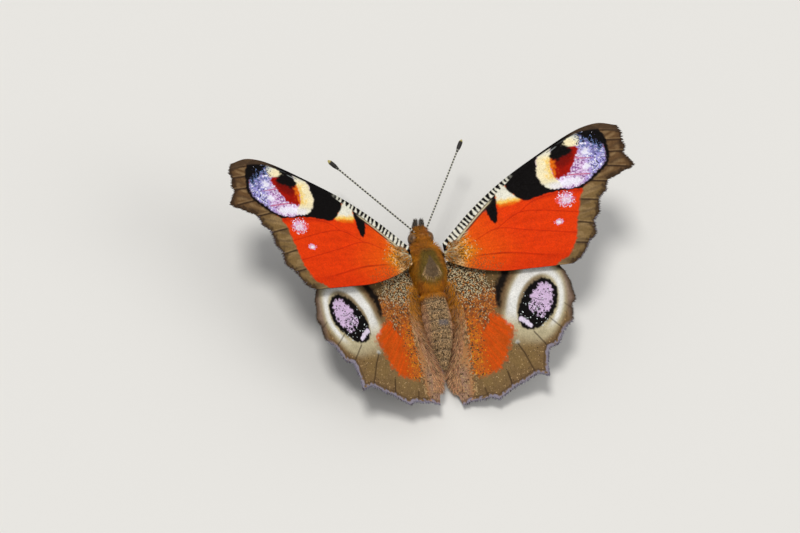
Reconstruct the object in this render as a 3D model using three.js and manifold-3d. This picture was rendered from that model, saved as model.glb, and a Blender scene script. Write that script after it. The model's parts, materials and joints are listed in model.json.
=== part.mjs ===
// Peacock butterfly, life size, in millimetres: +X is its right, +Y its head end, +Z up.
// The origin is on the floor under the middle of the whole insect.
import * as THREE from 'three';
import { mergeVertices } from 'three/addons/utils/BufferGeometryUtils.js';
import Module from 'manifold-3d';

const wasm = await Module();
wasm.setup();

// Stance: the wing hinges' middle over the floor, and the nose-up pitch of the body
const HINGE_Y = 2.25;
const HINGE_HEIGHT = 8;
const PITCH = 12;
const GAP = 0.3;

// Body sizes, in the body's own frame with its origin between the forewing hinges
const THORAX = { rear: -4.9, front: 1.65, halfWidth: 2.65, halfHeight: 2.3, axis: -1.35 };
const HEAD = { rear: THORAX.front + GAP, front: 4.45, halfWidth: 1.45, halfHeight: 1.4, axis: -1.65 };
const ABDOMEN = { front: THORAX.rear - GAP, rear: -16.4, halfWidth: 2.25, halfHeight: 2.05, axis: -1.6 };
const ABDOMEN_SEGMENTS = 8;
const SEGMENT_GROOVE = 0.12;
const ABDOMEN_DROOP = 0.5;
const BODY_SIDES = 16;

// Head parts
const EYE = { x: 1.15, y: 2.85, z: -1.6, radii: [0.74, 0.95, 1.05] };
const PALP = { route: [[0.5, 3.7, -2.1], [0.5, 4.5, -1.75], [0.47, 5.0, -1.4], [0.45, 5.3, -1.15]],
  radii: [0.34, 0.34, 0.28, 0.15] };
const ANTENNA = { shaft: 0.25, club: 0.4, clubLength: 2.1, rootX: 0.62, rootY: 3.5, rootZ: -1.1 };
const ANTENNA_TIPS = { right: [9.0, 16.7, -1.5], left: [-11.4, 15.75, -1.5] };
const COIL = { y: 4.45, z: -3.4, inner: 0.3, outer: 0.82, turns: 1.3, start: -0.9, steps: 16, wire: 0.22 };

// Wings
const MEMBRANE = 0.48;
const VEIN_LIFT = 0.13;
const VEIN_SHOULDER = 0.3;
const ROOT_X = 2.45;
const FORE_HINGE = [ROOT_X, 0, 0];
const HIND_HINGE = [ROOT_X - 0.25, -2.9, -1.65];
const FORE_ARCH = 0.35;
const HIND_ARCH = 0.2;
const INNER_FOLD = 0.8;

// Dihedral, incidence and sweep of each wing, in degrees
const WING_SET = {
  forewing_right: { dihedral: 19.6, incidence: 3.9, sweep: -0.9 },
  forewing_left: { dihedral: 19.6, incidence: -3.9, sweep: 0.9 },
  hindwing_right: { dihedral: 19.3, incidence: 2.0, sweep: -2.1 },
  hindwing_left: { dihedral: 19.3, incidence: -4.3, sweep: 2.1 },
};

// Legs: points over the floor, measured from under the hinges, on the right side
const LEG_RADII = [0.4, 0.42, 0.36, 0.34, 0.27, 0.26, 0.26, 0.24];
const MIDLEG = [[1.1, 0.3, 5.0], [2.6, 0.6, 5.6], [4.9, 1.0, 5.9], [5.5, 1.2, 5.5], [8.2, 2.9, 1.1],
  [8.7, 3.3, 0.5], [9.5, 3.9, 0.2], [11.2, 5.2, 0.19]];
const HINDLEG = [[1.1, -2.4, 4.5], [2.5, -3.1, 4.5], [4.4, -4.1, 4.8], [5.0, -4.6, 4.5], [7.0, -8.1, 1.1],
  [7.3, -8.6, 0.5], [7.8, -9.4, 0.2], [8.9, -11.3, 0.19]];
const FORELEG = [[0.7, 1.0, 5.2], [0.75, 2.6, 4.7], [0.8, 3.2, 4.55], [0.75, 3.9, 4.5], [0.65, 4.6, 4.6]];
const FORELEG_RADII = [0.34, 0.34, 0.32, 0.3, 0.2];
const UP = new THREE.Vector3(0, 0, 1);

// Locks of hair on the thorax: how many in each row from front to rear, and one lock's size
const LOCKS = {
  firstY: 1.2, lastY: -4.3, across: [3, 4, 5, 5, 4, 3], spread: 50, length: 1.7, halfWidth: 0.55,
  halfThickness: 0.17, root: 0.35, rise: 0.42, jitter: 0.2,
};
const SEED = 7;

// Materials: colour, roughness and metalness of each kind of surface
const FINISH = {
  fur: [0x8a5a24, 0.9],
  dark: [0x2a211b, 0.8],
  eye: [0x4a4038, 0.25],
  antenna: [0x2c2a24, 0.6],
  leg: [0x6b4f35, 0.7],
  forewing: [0xd8400f, 0.75],
  hindwing: [0xa8552a, 0.8],
};

function material(kind) {
  const [color, roughness] = FINISH[kind];
  return new THREE.MeshStandardMaterial({ color, roughness, metalness: 0 });
}

function cleaned(geometry) {
  const bare = geometry.clone();
  bare.deleteAttribute('normal');
  bare.deleteAttribute('uv');
  const merged = mergeVertices(bare, 1e-4);
  const kept = [];
  const index = merged.index.array;
  for (let i = 0; i < index.length; i += 3) {
    const [a, b, c] = index.slice(i, i + 3);
    if (a !== b && b !== c && c !== a) kept.push(a, b, c);
  }
  merged.setIndex(kept);
  return merged;
}

function signedVolume(geometry) {
  const p = geometry.attributes.position;
  const index = geometry.index.array;
  const [a, b, c] = [new THREE.Vector3(), new THREE.Vector3(), new THREE.Vector3()];
  let sum = 0;
  for (let i = 0; i < index.length; i += 3) {
    a.fromBufferAttribute(p, index[i]);
    b.fromBufferAttribute(p, index[i + 1]);
    c.fromBufferAttribute(p, index[i + 2]);
    sum += a.dot(b.cross(c)) / 6;
  }
  return sum;
}

// A closed surface with merged vertices and its faces pointing out
function closed(geometry) {
  const merged = cleaned(geometry);
  if (signedVolume(merged) < 0) merged.setIndex(Array.from(merged.index.array).reverse());
  return merged;
}

function solid(geometry) {
  const shell = closed(geometry);
  const vertProperties = new Float32Array(shell.attributes.position.array);
  const triVerts = new Uint32Array(shell.index.array);
  return new wasm.Manifold(new wasm.Mesh({ numProp: 3, vertProperties, triVerts }));
}

// The largest closed surface of a solid, as a geometry
function surface(manifold) {
  const pieces = manifold.decompose();
  pieces.sort((a, b) => b.volume() - a.volume());
  const mesh = pieces[0].getMesh();
  const geometry = new THREE.BufferGeometry();
  geometry.setAttribute('position', new THREE.BufferAttribute(mesh.vertProperties, mesh.numProp));
  geometry.setIndex(Array.from(mesh.triVerts));
  return geometry;
}

function block(x0, x1, y0, y1, z0, z1) {
  const box = new THREE.BoxGeometry(x1 - x0, y1 - y0, z1 - z0);
  box.translate((x0 + x1) / 2, (y0 + y1) / 2, (z0 + z1) / 2);
  return solid(box);
}

function ellipsoid(x, y, z, rx, ry, rz, around = 12, rings = 8) {
  const ball = new THREE.SphereGeometry(1, around, rings);
  ball.rotateX(Math.PI / 2);
  ball.scale(rx, ry, rz);
  ball.translate(x, y, z);
  return ball;
}

// A tapered limb through the given points: sizes hold the half width and half thickness at each,
// and the thickness lies towards up
function limb(points, sizes, up, sides) {
  const centres = points.map((p) => new THREE.Vector3(...p));
  const positions = [];
  const last = centres.length - 1;
  centres.forEach((centre, i) => {
    const along = centres[Math.min(i + 1, last)].clone().sub(centres[Math.max(i - 1, 0)]);
    const across = along.clone().cross(up).normalize();
    const over = across.clone().cross(along).normalize();
    for (let j = 0; j < sides; j += 1) {
      const angle = (2 * Math.PI * (j + 0.5)) / sides;
      const point = centre.clone().addScaledVector(across, sizes[i][0] * Math.cos(angle));
      positions.push(...point.addScaledVector(over, sizes[i][1] * Math.sin(angle)));
    }
  });
  const near = centres.length * sides;
  positions.push(...centres[0], ...centres[last]);
  const faces = [];
  for (let j = 0; j < sides; j += 1) {
    const next = (j + 1) % sides;
    for (let i = 0; i < last; i += 1) {
      const [a, b, c, d] = [i * sides + j, i * sides + next, (i + 1) * sides + next, (i + 1) * sides + j];
      faces.push(a, b, c, a, c, d);
    }
    faces.push(near, next, j, near + 1, last * sides + j, last * sides + next);
  }
  const geometry = new THREE.BufferGeometry();
  geometry.setAttribute('position', new THREE.Float32BufferAttribute(positions, 3));
  geometry.setIndex(faces);
  return geometry;
}

// A body turned round its long axis: stations are [fraction of length from the front, fraction of
// the half width]; grow widens it all round
function turned(part, stations, grow = 0) {
  const length = part.front - part.rear;
  const points = stations.map(([t, r]) => {
    return new THREE.Vector2(r * part.halfWidth + grow, part.front - t * length);
  });
  const first = points[0].clone().setX(0);
  const last = points[points.length - 1].clone().setX(0);
  first.y += grow;
  points[0].y += grow;
  last.y -= grow;
  points[points.length - 1].y -= grow;
  const shape = new THREE.LatheGeometry([first, ...points, last], BODY_SIDES);
  const flatness = (part.halfHeight + grow) / (part.halfWidth + grow);
  shape.scale(1, 1, flatness);
  shape.translate(0, 0, part.axis);
  return shape;
}

const THORAX_STATIONS = [[0, 0.6], [0.06, 0.76], [0.22, 0.93], [0.45, 1], [0.7, 0.95], [0.88, 0.82],
  [1, 0.62]];
const HEAD_STATIONS = [[0, 0.3], [0.08, 0.62], [0.25, 0.88], [0.5, 1], [0.8, 0.86], [1, 0.58]];

// The wing bases' lobes on the thorax, cut flat where the wings meet them
function thoraxShape() {
  let shape = solid(turned(THORAX, THORAX_STATIONS));
  for (const side of [-1, 1]) {
    shape = shape.add(solid(ellipsoid(side * 1.75, 0.05, -0.1, 1, 1.9, 0.85)));
    shape = shape.add(solid(ellipsoid(side * 1.6, -2.9, -1.4, 1.1, 1.7, 0.95)));
  }
  const flat = ROOT_X - GAP;
  const far = 9;
  shape = shape.subtract(block(flat, far, -far, far, -far, far));
  shape = shape.subtract(block(-far, -flat, -far, far, -far, far));
  shape = shape.subtract(block(-far, far, THORAX.front, far, -far, far));
  return shape.subtract(block(-far, far, -far, THORAX.rear, -far, far));
}

// A repeatable run of numbers from 0 to 1
function seeded(seed) {
  let state = seed;
  return () => {
    state = (state * 16807) % 2147483647;
    return state / 2147483647;
  };
}

// The half width of a turned body at a place along it, as a fraction of its largest
function fullness(part, stations, y) {
  const t = (part.front - y) / (part.front - part.rear);
  const i = Math.max(1, stations.findIndex(([station]) => station >= t));
  const [t0, r0] = stations[i - 1];
  const [t1, r1] = stations[i];
  return THREE.MathUtils.lerp(r0, r1, (t - t0) / (t1 - t0));
}

// One flat lock that leaves the back of the thorax and bends along it towards the rear
function lockShape(y, angle, random) {
  const width = fullness(THORAX, THORAX_STATIONS, y);
  const out = new THREE.Vector3(Math.sin(angle), 0, Math.cos(angle));
  const foot = new THREE.Vector3(THORAX.halfWidth * width * out.x, y, THORAX.halfHeight * width * out.z);
  foot.z += THORAX.axis;
  const length = LOCKS.length * (1 + LOCKS.jitter * (random() - 0.5));
  const sway = LOCKS.jitter * (random() - 0.5) * length + 0.2 * out.x;
  const stations = [[0, -LOCKS.root, 1], [0.25, 0.3 * LOCKS.rise, 1], [0.65, LOCKS.rise, 0.7],
    [1, 0.9 * LOCKS.rise, 0.12]];
  const points = stations.map(([along, height]) => {
    const point = foot.clone().addScaledVector(out, height);
    return [point.x + sway * along, point.y - length * along, point.z];
  });
  const sizes = stations.map(([, , r]) => [r * LOCKS.halfWidth, r * LOCKS.halfThickness]);
  return limb(points, sizes, out, 4);
}

function furredThorax() {
  const random = seeded(SEED);
  let shape = thoraxShape();
  LOCKS.across.forEach((count, row) => {
    const y = THREE.MathUtils.lerp(LOCKS.firstY, LOCKS.lastY, row / (LOCKS.across.length - 1));
    for (let i = 0; i < count; i += 1) {
      const place = (i + 0.5 + 0.3 * (random() - 0.5)) / count - 0.5;
      const angle = 2 * THREE.MathUtils.degToRad(LOCKS.spread) * place;
      shape = shape.add(solid(lockShape(y, angle, random)));
    }
  });
  return shape;
}

function headShape() {
  let shape = solid(turned(HEAD, HEAD_STATIONS));
  for (const side of [-1, 1]) {
    const radii = EYE.radii.map((r) => r + GAP);
    shape = shape.subtract(solid(ellipsoid(side * EYE.x, EYE.y, EYE.z, ...radii)));
  }
  return shape;
}

function eyeShape(side) {
  return solid(ellipsoid(side * EYE.x, EYE.y, EYE.z, ...EYE.radii, 14, 9));
}

function abdomenShape() {
  const profile = new THREE.SplineCurve([[0, 0.62], [0.1, 0.88], [0.28, 1], [0.45, 0.98], [0.62, 0.86],
    [0.78, 0.62], [0.9, 0.38], [1, 0.16]].map(([t, r]) => new THREE.Vector2(t, r)));
  const stations = [];
  const groove = SEGMENT_GROOVE / ABDOMEN.halfWidth;
  for (let i = 0; i < ABDOMEN_SEGMENTS; i += 1) {
    for (const [part, dip] of [[0, i ? groove : 0], [0.16, 0], [0.85, -groove / 4]]) {
      const t = (i + part) / ABDOMEN_SEGMENTS;
      stations.push([t, profile.getPoint(t).y - dip]);
    }
  }
  stations.push([1, 0.16]);
  const shape = turned(ABDOMEN, stations);
  const p = shape.attributes.position;
  for (let i = 0; i < p.count; i += 1) {
    const t = (ABDOMEN.front - p.getY(i)) / (ABDOMEN.front - ABDOMEN.rear);
    p.setZ(i, p.getZ(i) - ABDOMEN_DROOP * t * t);
  }
  return shape;
}

function grownHead() {
  return solid(turned(HEAD, HEAD_STATIONS, GAP));
}

function palpShape(side) {
  const points = PALP.route.map(([x, y, z]) => [side * x, y, z]);
  const shape = limb(points, PALP.radii.map((r) => [r, r]), UP, 8);
  return solid(shape).subtract(grownHead());
}

// The feeler: a thin shaft that swells into a club at its tip
function antennaShape(side) {
  const root = new THREE.Vector3(side * ANTENNA.rootX, ANTENNA.rootY, ANTENNA.rootZ);
  const tip = new THREE.Vector3(...(side > 0 ? ANTENNA_TIPS.right : ANTENNA_TIPS.left));
  const length = root.distanceTo(tip);
  const stations = [[0, ANTENNA.shaft], [length - ANTENNA.clubLength, ANTENNA.shaft],
    [length - 1.2, ANTENNA.club], [length - 0.5, ANTENNA.club], [length, 0.5 * ANTENNA.shaft]];
  const points = stations.map(([along]) => root.clone().lerp(tip, along / length).toArray());
  const shape = limb(points, stations.map(([, r]) => [r, r]), UP, 8);
  return solid(shape).subtract(grownHead());
}

// The tongue: a flat coil that hangs under the head
function coilShape() {
  const points = [];
  for (let i = 0; i <= COIL.steps; i += 1) {
    const t = i / COIL.steps;
    const radius = THREE.MathUtils.lerp(COIL.inner, COIL.outer, t);
    const angle = 2 * Math.PI * COIL.turns * t + COIL.start;
    points.push([0, COIL.y - radius * Math.cos(angle), COIL.z + radius * Math.sin(angle)]);
  }
  points.push([0, COIL.y - 0.5, HEAD.axis - 0.8]);
  const shape = limb(points, points.map(() => [COIL.wire, COIL.wire]), new THREE.Vector3(1, 0, 0), 6);
  return solid(shape).subtract(grownHead());
}

// Wing plans, in the wing's own plane: u outward from the hinge, v forward. Each vein's path is a
// list of [level, u, v]; a vein with a parent runs with it up to the fork level. Level 0 is the
// root and the last level the outer margin. notch holds how far the margin draws in at evenly spaced
// places on the way to the next vein. The first and last paths are the wing's front and rear edges.
const FORE_PLAN = {
  levels: 14,
  veins: [
    { notch: [], path: [[0, 0.05, 1.35], [1, 1.1, 2.25], [3, 4.4, 5.0], [6, 9.4, 8.35], [9, 15.9, 11.6],
      [11, 20.4, 13.55], [12, 22.6, 14.2], [13, 24.9, 14.35], [14, 27.2, 13.65]] },
    { notch: [0.25, 0.15], path: [[0, 0.05, 0.9], [3, 4.8, 4.3], [6, 9.9, 7.7], [9, 16.2, 10.9],
      [12, 22.8, 13.1], [14, 27.8, 12.3]] },
    { parent: 1, fork: 8, notch: [0.65, 0.35], path: [[11, 20.6, 11.5], [14, 27.85, 10.4]] },
    { parent: 1, fork: 6, notch: [-0.3, 0], path: [[8, 14.2, 8.9], [11, 20.9, 9.6], [12.5, 24.6, 9.2],
      [14, 28.7, 7.7]] },
    { parent: 3, fork: 7, notch: [0.8, 0.6], path: [[8, 13.5, 7.5], [9, 16.2, 7.6], [11, 20.2, 7.7],
      [14, 26.3, 6.7]] },
    { parent: 6, fork: 7, notch: [0.6, 0.4], path: [[8, 13.4, 4.8], [10, 17.2, 5.5], [12, 21, 5.3],
      [14, 24.15, 4.75]] },
    { parent: 7, fork: 5, notch: [0.6, 0.35], path: [[7, 11.6, 3.7], [9, 14.8, 3.4], [12, 19.6, 2.3],
      [14, 22.65, 1.75]] },
    { notch: [0.3, 0.1], path: [[0, 0.05, 0.3], [3, 4.4, 0.85], [5, 8, 2], [8, 12.4, 1.0], [12, 18.7, -0.5],
      [14, 21.65, -1.2]] },
    { notch: [], path: [[0, 0.05, -0.4], [3, 4.2, -1.25], [6, 8.6, -1.55], [9, 13.2, -2.65],
      [14, 19, -4.05]] },
    { path: [[0, 0.05, -1.1], [2, 2.8, -2.6], [5, 7.2, -3.95], [9, 12.2, -4.45], [14, 17.6, -4.8]] },
  ],
};
const HIND_PLAN = {
  levels: 12,
  veins: [
    { notch: [], path: [[0, 0.3, 1.6], [2, 3.2, 2.8], [5, 8.0, 2.95], [8, 12.6, 2.2], [10, 15.4, 0.5],
      [12, 17.0, -1.8]] },
    { notch: [0.1], path: [[0, 0.3, 0.8], [3, 4.4, 1.4], [7, 10.4, 0.4], [12, 17.6, -3.6]] },
    { notch: [0.35, 0.2], path: [[0, 0.3, 0.1], [3, 4.2, -0.7], [7, 10.0, -2.8], [12, 17.95, -6.1]] },
    { parent: 2, fork: 3, notch: [0.35, 0.2], path: [[5, 7.2, -2.9], [8, 11.6, -5.7], [12, 17.1, -9.2]] },
    { parent: 3, fork: 5, notch: [1.15, 0.8], path: [[7, 9.2, -5.9], [9, 11.4, -8.6], [12, 14.65, -12.05]] },
    { parent: 6, fork: 6, notch: [0.75, 0.4], path: [[8, 8.6, -9.3], [10, 10.7, -12.3],
      [12, 12.55, -16.4]] },
    { parent: 7, fork: 4, notch: [0.25, 0.1], path: [[6, 6.2, -7.9], [9, 8.1, -12.2], [12, 9.0, -16.8]] },
    { notch: [0.35, 0.1], path: [[0, 0.3, -0.3], [4, 4.2, -5.3], [8, 5.4, -11.4], [12, 5.15, -18.65]] },
    { notch: [0.2, 0.1], path: [[0, 0.3, -0.65], [4, 2.5, -5.6], [8, 2.5, -12.0], [12, 2.0, -18.35]] },
    { path: [[0, 0.3, -1.0], [2, 0.35, -3.4], [5, 0.25, -8.2], [7, -0.55, -11.0], [9, -1.25, -13.6],
      [10, -1.15, -15.2], [12, 0, -18.75]] },
  ],
};

// A vein's points, one for each level
function veinPoints(plan, vein) {
  const points = [];
  const start = vein.parent === undefined ? [] : veinPoints(plan, plan.veins[vein.parent]);
  for (let k = 0; k <= (vein.fork ?? -1); k += 1) points.push(start[k]);
  const path = vein.fork === undefined ? vein.path : [[vein.fork, ...start[vein.fork]], ...vein.path];
  const curve = new THREE.CatmullRomCurve3(path.map(([, u, v]) => new THREE.Vector3(u, v, 0)));
  for (let k = points.length; k <= plan.levels; k += 1) {
    let i = 0;
    while (path[i + 1][0] < k) i += 1;
    const part = (k - path[i][0]) / (path[i + 1][0] - path[i][0]);
    const p = curve.getPoint((i + part) / (path.length - 1));
    points.push([p.x, p.y]);
  }
  return points;
}

// The rows of the wing's net: every vein, its two shoulders, and the rows between two veins that
// the notches of the margin need
function wingRows(plan) {
  const veins = plan.veins.map((vein) => veinPoints(plan, vein));
  const rows = [];
  veins.forEach((points, i) => {
    rows.push(points.map(([u, v]) => ({ u, v, near: 0 })));
    if (i === veins.length - 1) return;
    const { notch } = plan.veins[i];
    for (let step = 0; step < notch.length + 2; step += 1) {
      rows.push(points.map(([u, v], k) => {
        const [un, vn] = veins[i + 1][k];
        const width = Math.hypot(un - u, vn - v);
        const shoulder = Math.min(VEIN_SHOULDER, 0.25 * width);
        const middles = notch.map((_, j) => ((j + 1) * width) / (notch.length + 1));
        const away = [shoulder, ...middles, width - shoulder][step];
        const part = width > 1e-3 ? away / width : 0;
        const row = { u: u + (un - u) * part, v: v + (vn - v) * part, near: Math.min(away, width - away) };
        if (k === plan.levels && notch[step - 1]) {
          const [ub, vb] = points[k - 1];
          const outward = Math.hypot(u - ub, v - vb);
          row.u -= (notch[step - 1] * (u - ub)) / outward;
          row.v -= (notch[step - 1] * (v - vb)) / outward;
        }
        return row;
      }));
    }
  });
  return rows;
}

// One wing as a closed sheet. Both faces carry the same net, with the veins raised on each.
function wingShape(plan, side, arch, fold) {
  const rows = wingRows(plan);
  const positions = [];
  const last = rows.length - 1;
  for (const face of [1, -1]) {
    rows.forEach((row) => row.forEach((point, k) => {
      const [front, rear] = [rows[0][k], rows[last][k]];
      const width = Math.hypot(rear.u - front.u, rear.v - front.v);
      const across = Math.hypot(point.u - front.u, point.v - front.v) / width;
      const along = k / plan.levels;
      const lift = VEIN_LIFT * Math.max(0, 1 - point.near / VEIN_SHOULDER) * (1 - 0.5 * along);
      const bow = arch * Math.sin(Math.PI * across) * Math.sin(Math.PI * along) ** 0.7;
      const drop = fold * Math.max(0, (across - 0.86) / 0.14) ** 2 * Math.sin(Math.PI * along) ** 0.5;
      positions.push(side * point.u, point.v, bow - drop + face * (MEMBRANE / 2 + lift));
    }));
  }
  const count = plan.levels + 1;
  const under = rows.length * count;
  const at = (r, k) => r * count + k;
  const faces = [];
  const quad = (a, b, c, d) => faces.push(a, b, c, a, c, d);
  for (let r = 0; r < last; r += 1) {
    for (let k = 0; k < plan.levels; k += 1) {
      quad(at(r, k), at(r + 1, k), at(r + 1, k + 1), at(r, k + 1));
      faces.push(under + at(r, k), under + at(r + 1, k + 1), under + at(r + 1, k));
      faces.push(under + at(r, k), under + at(r, k + 1), under + at(r + 1, k + 1));
    }
    quad(at(r, 0), under + at(r, 0), under + at(r + 1, 0), at(r + 1, 0));
    const end = at(r, plan.levels);
    const nextEnd = at(r + 1, plan.levels);
    quad(end, nextEnd, under + nextEnd, under + end);
  }
  for (let k = 0; k < plan.levels; k += 1) {
    quad(at(0, k), at(0, k + 1), under + at(0, k + 1), under + at(0, k));
    quad(at(last, k), under + at(last, k), under + at(last, k + 1), at(last, k + 1));
  }
  const geometry = new THREE.BufferGeometry();
  geometry.setAttribute('position', new THREE.Float32BufferAttribute(positions, 3));
  geometry.setIndex(faces);
  return closed(geometry);
}

// A leg through its joints, its foot cut flat on the floor
function legShape(points, radii, side, chest) {
  const shape = limb(points.map(([x, y, z]) => [side * x, y, z]), radii.map((r) => [r, r]), UP, 8);
  const far = 30;
  return solid(shape).subtract(chest).subtract(block(-far, far, -far, far, -far, 0));
}

const butterfly = new THREE.Group();
const body = new THREE.Group();
body.position.set(0, HINGE_Y, HINGE_HEIGHT);
body.rotation.x = THREE.MathUtils.degToRad(PITCH);
const legs = new THREE.Group();
legs.position.set(0, HINGE_Y, 0);
butterfly.add(body, legs);

function add(group, name, kind, geometry) {
  const mesh = new THREE.Mesh(geometry, material(kind));
  mesh.name = name;
  group.add(mesh);
  return mesh;
}

add(body, 'head', 'fur', surface(headShape()));
add(body, 'thorax', 'fur', surface(furredThorax()));
add(body, 'abdomen', 'dark', closed(abdomenShape()));
add(body, 'proboscis', 'dark', surface(coilShape()));

// The thorax grown by the gap, in the legs' own frame, cuts each leg off where it meets the body
const lower = new THREE.Matrix4().makeTranslation(0, 0, HINGE_HEIGHT);
lower.multiply(new THREE.Matrix4().makeRotationX(THREE.MathUtils.degToRad(PITCH)));
const chest = solid(turned(THORAX, THORAX_STATIONS, GAP).applyMatrix4(lower));

for (const [name, side] of [['right', 1], ['left', -1]]) {
  add(body, `eye_${name}`, 'eye', surface(eyeShape(side)));
  add(body, `palp_${name}`, 'dark', surface(palpShape(side)));
  add(body, `antenna_${name}`, 'antenna', surface(antennaShape(side)));
  add(legs, `foreleg_${name}`, 'leg', surface(legShape(FORELEG, FORELEG_RADII, side, chest)));
  add(legs, `midleg_${name}`, 'leg', surface(legShape(MIDLEG, LEG_RADII, side, chest)));
  add(legs, `hindleg_${name}`, 'leg', surface(legShape(HINDLEG, LEG_RADII, side, chest)));
  for (const [wing, plan, hinge, arch, fold] of [
    ['forewing', FORE_PLAN, FORE_HINGE, FORE_ARCH, 0],
    ['hindwing', HIND_PLAN, HIND_HINGE, HIND_ARCH, INNER_FOLD],
  ]) {
    const set = WING_SET[`${wing}_${name}`];
    const mesh = add(body, `${wing}_${name}`, wing, wingShape(plan, side, arch, fold));
    mesh.position.set(side * hinge[0], hinge[1], hinge[2]);
    const [tilt, raise, turn] = [set.incidence, -side * set.dihedral, side * set.sweep];
    mesh.rotation.set(...[tilt, raise, turn].map(THREE.MathUtils.degToRad), 'YXZ');
  }
}

export default butterfly;
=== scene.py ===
import json
import math

import bmesh
import bpy
import numpy as np
from mathutils import Matrix, Vector

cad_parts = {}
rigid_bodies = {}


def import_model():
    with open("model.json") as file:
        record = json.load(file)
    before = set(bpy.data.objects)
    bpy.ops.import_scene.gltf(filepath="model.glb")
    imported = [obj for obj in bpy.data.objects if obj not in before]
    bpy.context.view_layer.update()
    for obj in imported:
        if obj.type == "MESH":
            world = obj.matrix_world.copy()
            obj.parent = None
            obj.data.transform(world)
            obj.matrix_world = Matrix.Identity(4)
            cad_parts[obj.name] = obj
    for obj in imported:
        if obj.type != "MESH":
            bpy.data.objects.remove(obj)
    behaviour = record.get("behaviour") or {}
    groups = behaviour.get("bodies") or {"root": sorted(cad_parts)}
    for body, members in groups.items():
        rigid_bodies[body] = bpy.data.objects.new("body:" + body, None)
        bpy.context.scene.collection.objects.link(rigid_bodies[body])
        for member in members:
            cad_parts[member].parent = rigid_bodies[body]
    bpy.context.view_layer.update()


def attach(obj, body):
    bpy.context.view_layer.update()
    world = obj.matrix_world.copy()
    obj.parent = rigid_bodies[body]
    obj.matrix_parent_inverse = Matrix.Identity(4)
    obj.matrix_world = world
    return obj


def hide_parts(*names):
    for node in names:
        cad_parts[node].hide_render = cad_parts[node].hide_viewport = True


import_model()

# Sizes are in millimetres in each part's own frame and become metres when a mesh is made
MM = 0.001
SEED = 11
SIDES = {"right": 1, "left": -1}

# Stance: the wing hinges' middle over the floor, and the nose-up pitch of the body
HINGE_Y = 2.25
HINGE_HEIGHT = 8.0
PITCH = 12.0

# Camera: its place from the hinges, its axes, and its lens
CAMERA_PLACE = (-149.401, -194.649, 402.057)
CAMERA_RIGHT = (0.94442, -0.23925, 0.22545)
CAMERA_UP = (0.11214, 0.87914, 0.46319)
CAMERA_BACK = (-0.30902, -0.41216, 0.85711)
CAMERA_LENS = 150
CAMERA_SENSOR = 36

# Body: stations of [y, half width, half height, axis height] of the skin, front to rear
SKIN = [
    (4.3, 0.25, 0.3, -1.8), (4.0, 0.75, 0.75, -1.75), (3.4, 1.1, 1.1, -1.7), (2.7, 1.2, 1.2, -1.65),
    (2.1, 1.05, 1.05, -1.6), (1.75, 1.1, 1.05, -1.55), (1.45, 1.35, 1.2, -1.5), (0.8, 1.95, 1.75, -1.4),
    (-0.4, 2.25, 1.95, -1.35), (-1.8, 2.3, 2.0, -1.35), (-3.2, 2.1, 1.8, -1.35), (-4.3, 1.7, 1.5, -1.4),
    (-5.0, 1.4, 1.3, -1.5), (-5.7, 1.6, 1.48, -1.55), (-7.0, 1.95, 1.8, -1.6), (-8.8, 2.1, 1.92, -1.65),
    (-10.6, 2.02, 1.84, -1.75), (-12.4, 1.72, 1.56, -1.87), (-14.0, 1.22, 1.1, -1.97),
    (-15.3, 0.72, 0.65, -2.05), (-16.2, 0.3, 0.28, -2.1),
]
ABDOMEN_FRONT = -5.2
ABDOMEN_REAR = -16.4
ABDOMEN_SEGMENTS = 8
SEGMENT_GROOVE = 0.08
SKIN_RINGS = 300
SKIN_SIDES = 64
SKIN_END = 0.12

EYE = {"x": 1.15, "y": 2.85, "z": -1.6, "radii": (0.74, 0.95, 1.05)}
PALP = [(0.5, 3.6, -2.1), (0.5, 4.5, -1.75), (0.47, 5.0, -1.4), (0.45, 5.3, -1.15)]
PALP_RADII = (0.24, 0.24, 0.18, 0.05)
PALP_HAIRS = 900
ANTENNA_ROOT = (0.62, 3.5, -1.1)
ANTENNA_TIPS = {"right": (9.0, 16.7, -1.5), "left": (-11.4, 15.75, -1.5)}
ANTENNA_SHAFT = 0.125
ANTENNA_CLUB = 0.31
ANTENNA_CLUB_LENGTH = 2.3
ANTENNA_RING = 0.46
COIL = {"y": 4.45, "z": -3.4, "inner": 0.2, "outer": 0.85, "turns": 1.6, "start": -0.9, "wire": 0.15}

# Wings: half the sheet's thickness, the height and width of veins, the depth of pleats, and the angles
# at which each wing is set
HALF_SHEET = 0.09
HALF_MARGIN = 0.05
VEIN_LIFT = 0.07
VEIN_WIDTH = 0.1
PLEAT = 0.05
WING_SET = {
    "forewing_right": {"dihedral": 19.6, "incidence": 3.9, "sweep": -0.9},
    "forewing_left": {"dihedral": 19.6, "incidence": -3.9, "sweep": 0.9},
    "hindwing_right": {"dihedral": 19.3, "incidence": 2.0, "sweep": -2.1},
    "hindwing_left": {"dihedral": 19.3, "incidence": -4.3, "sweep": 2.1},
}

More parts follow.
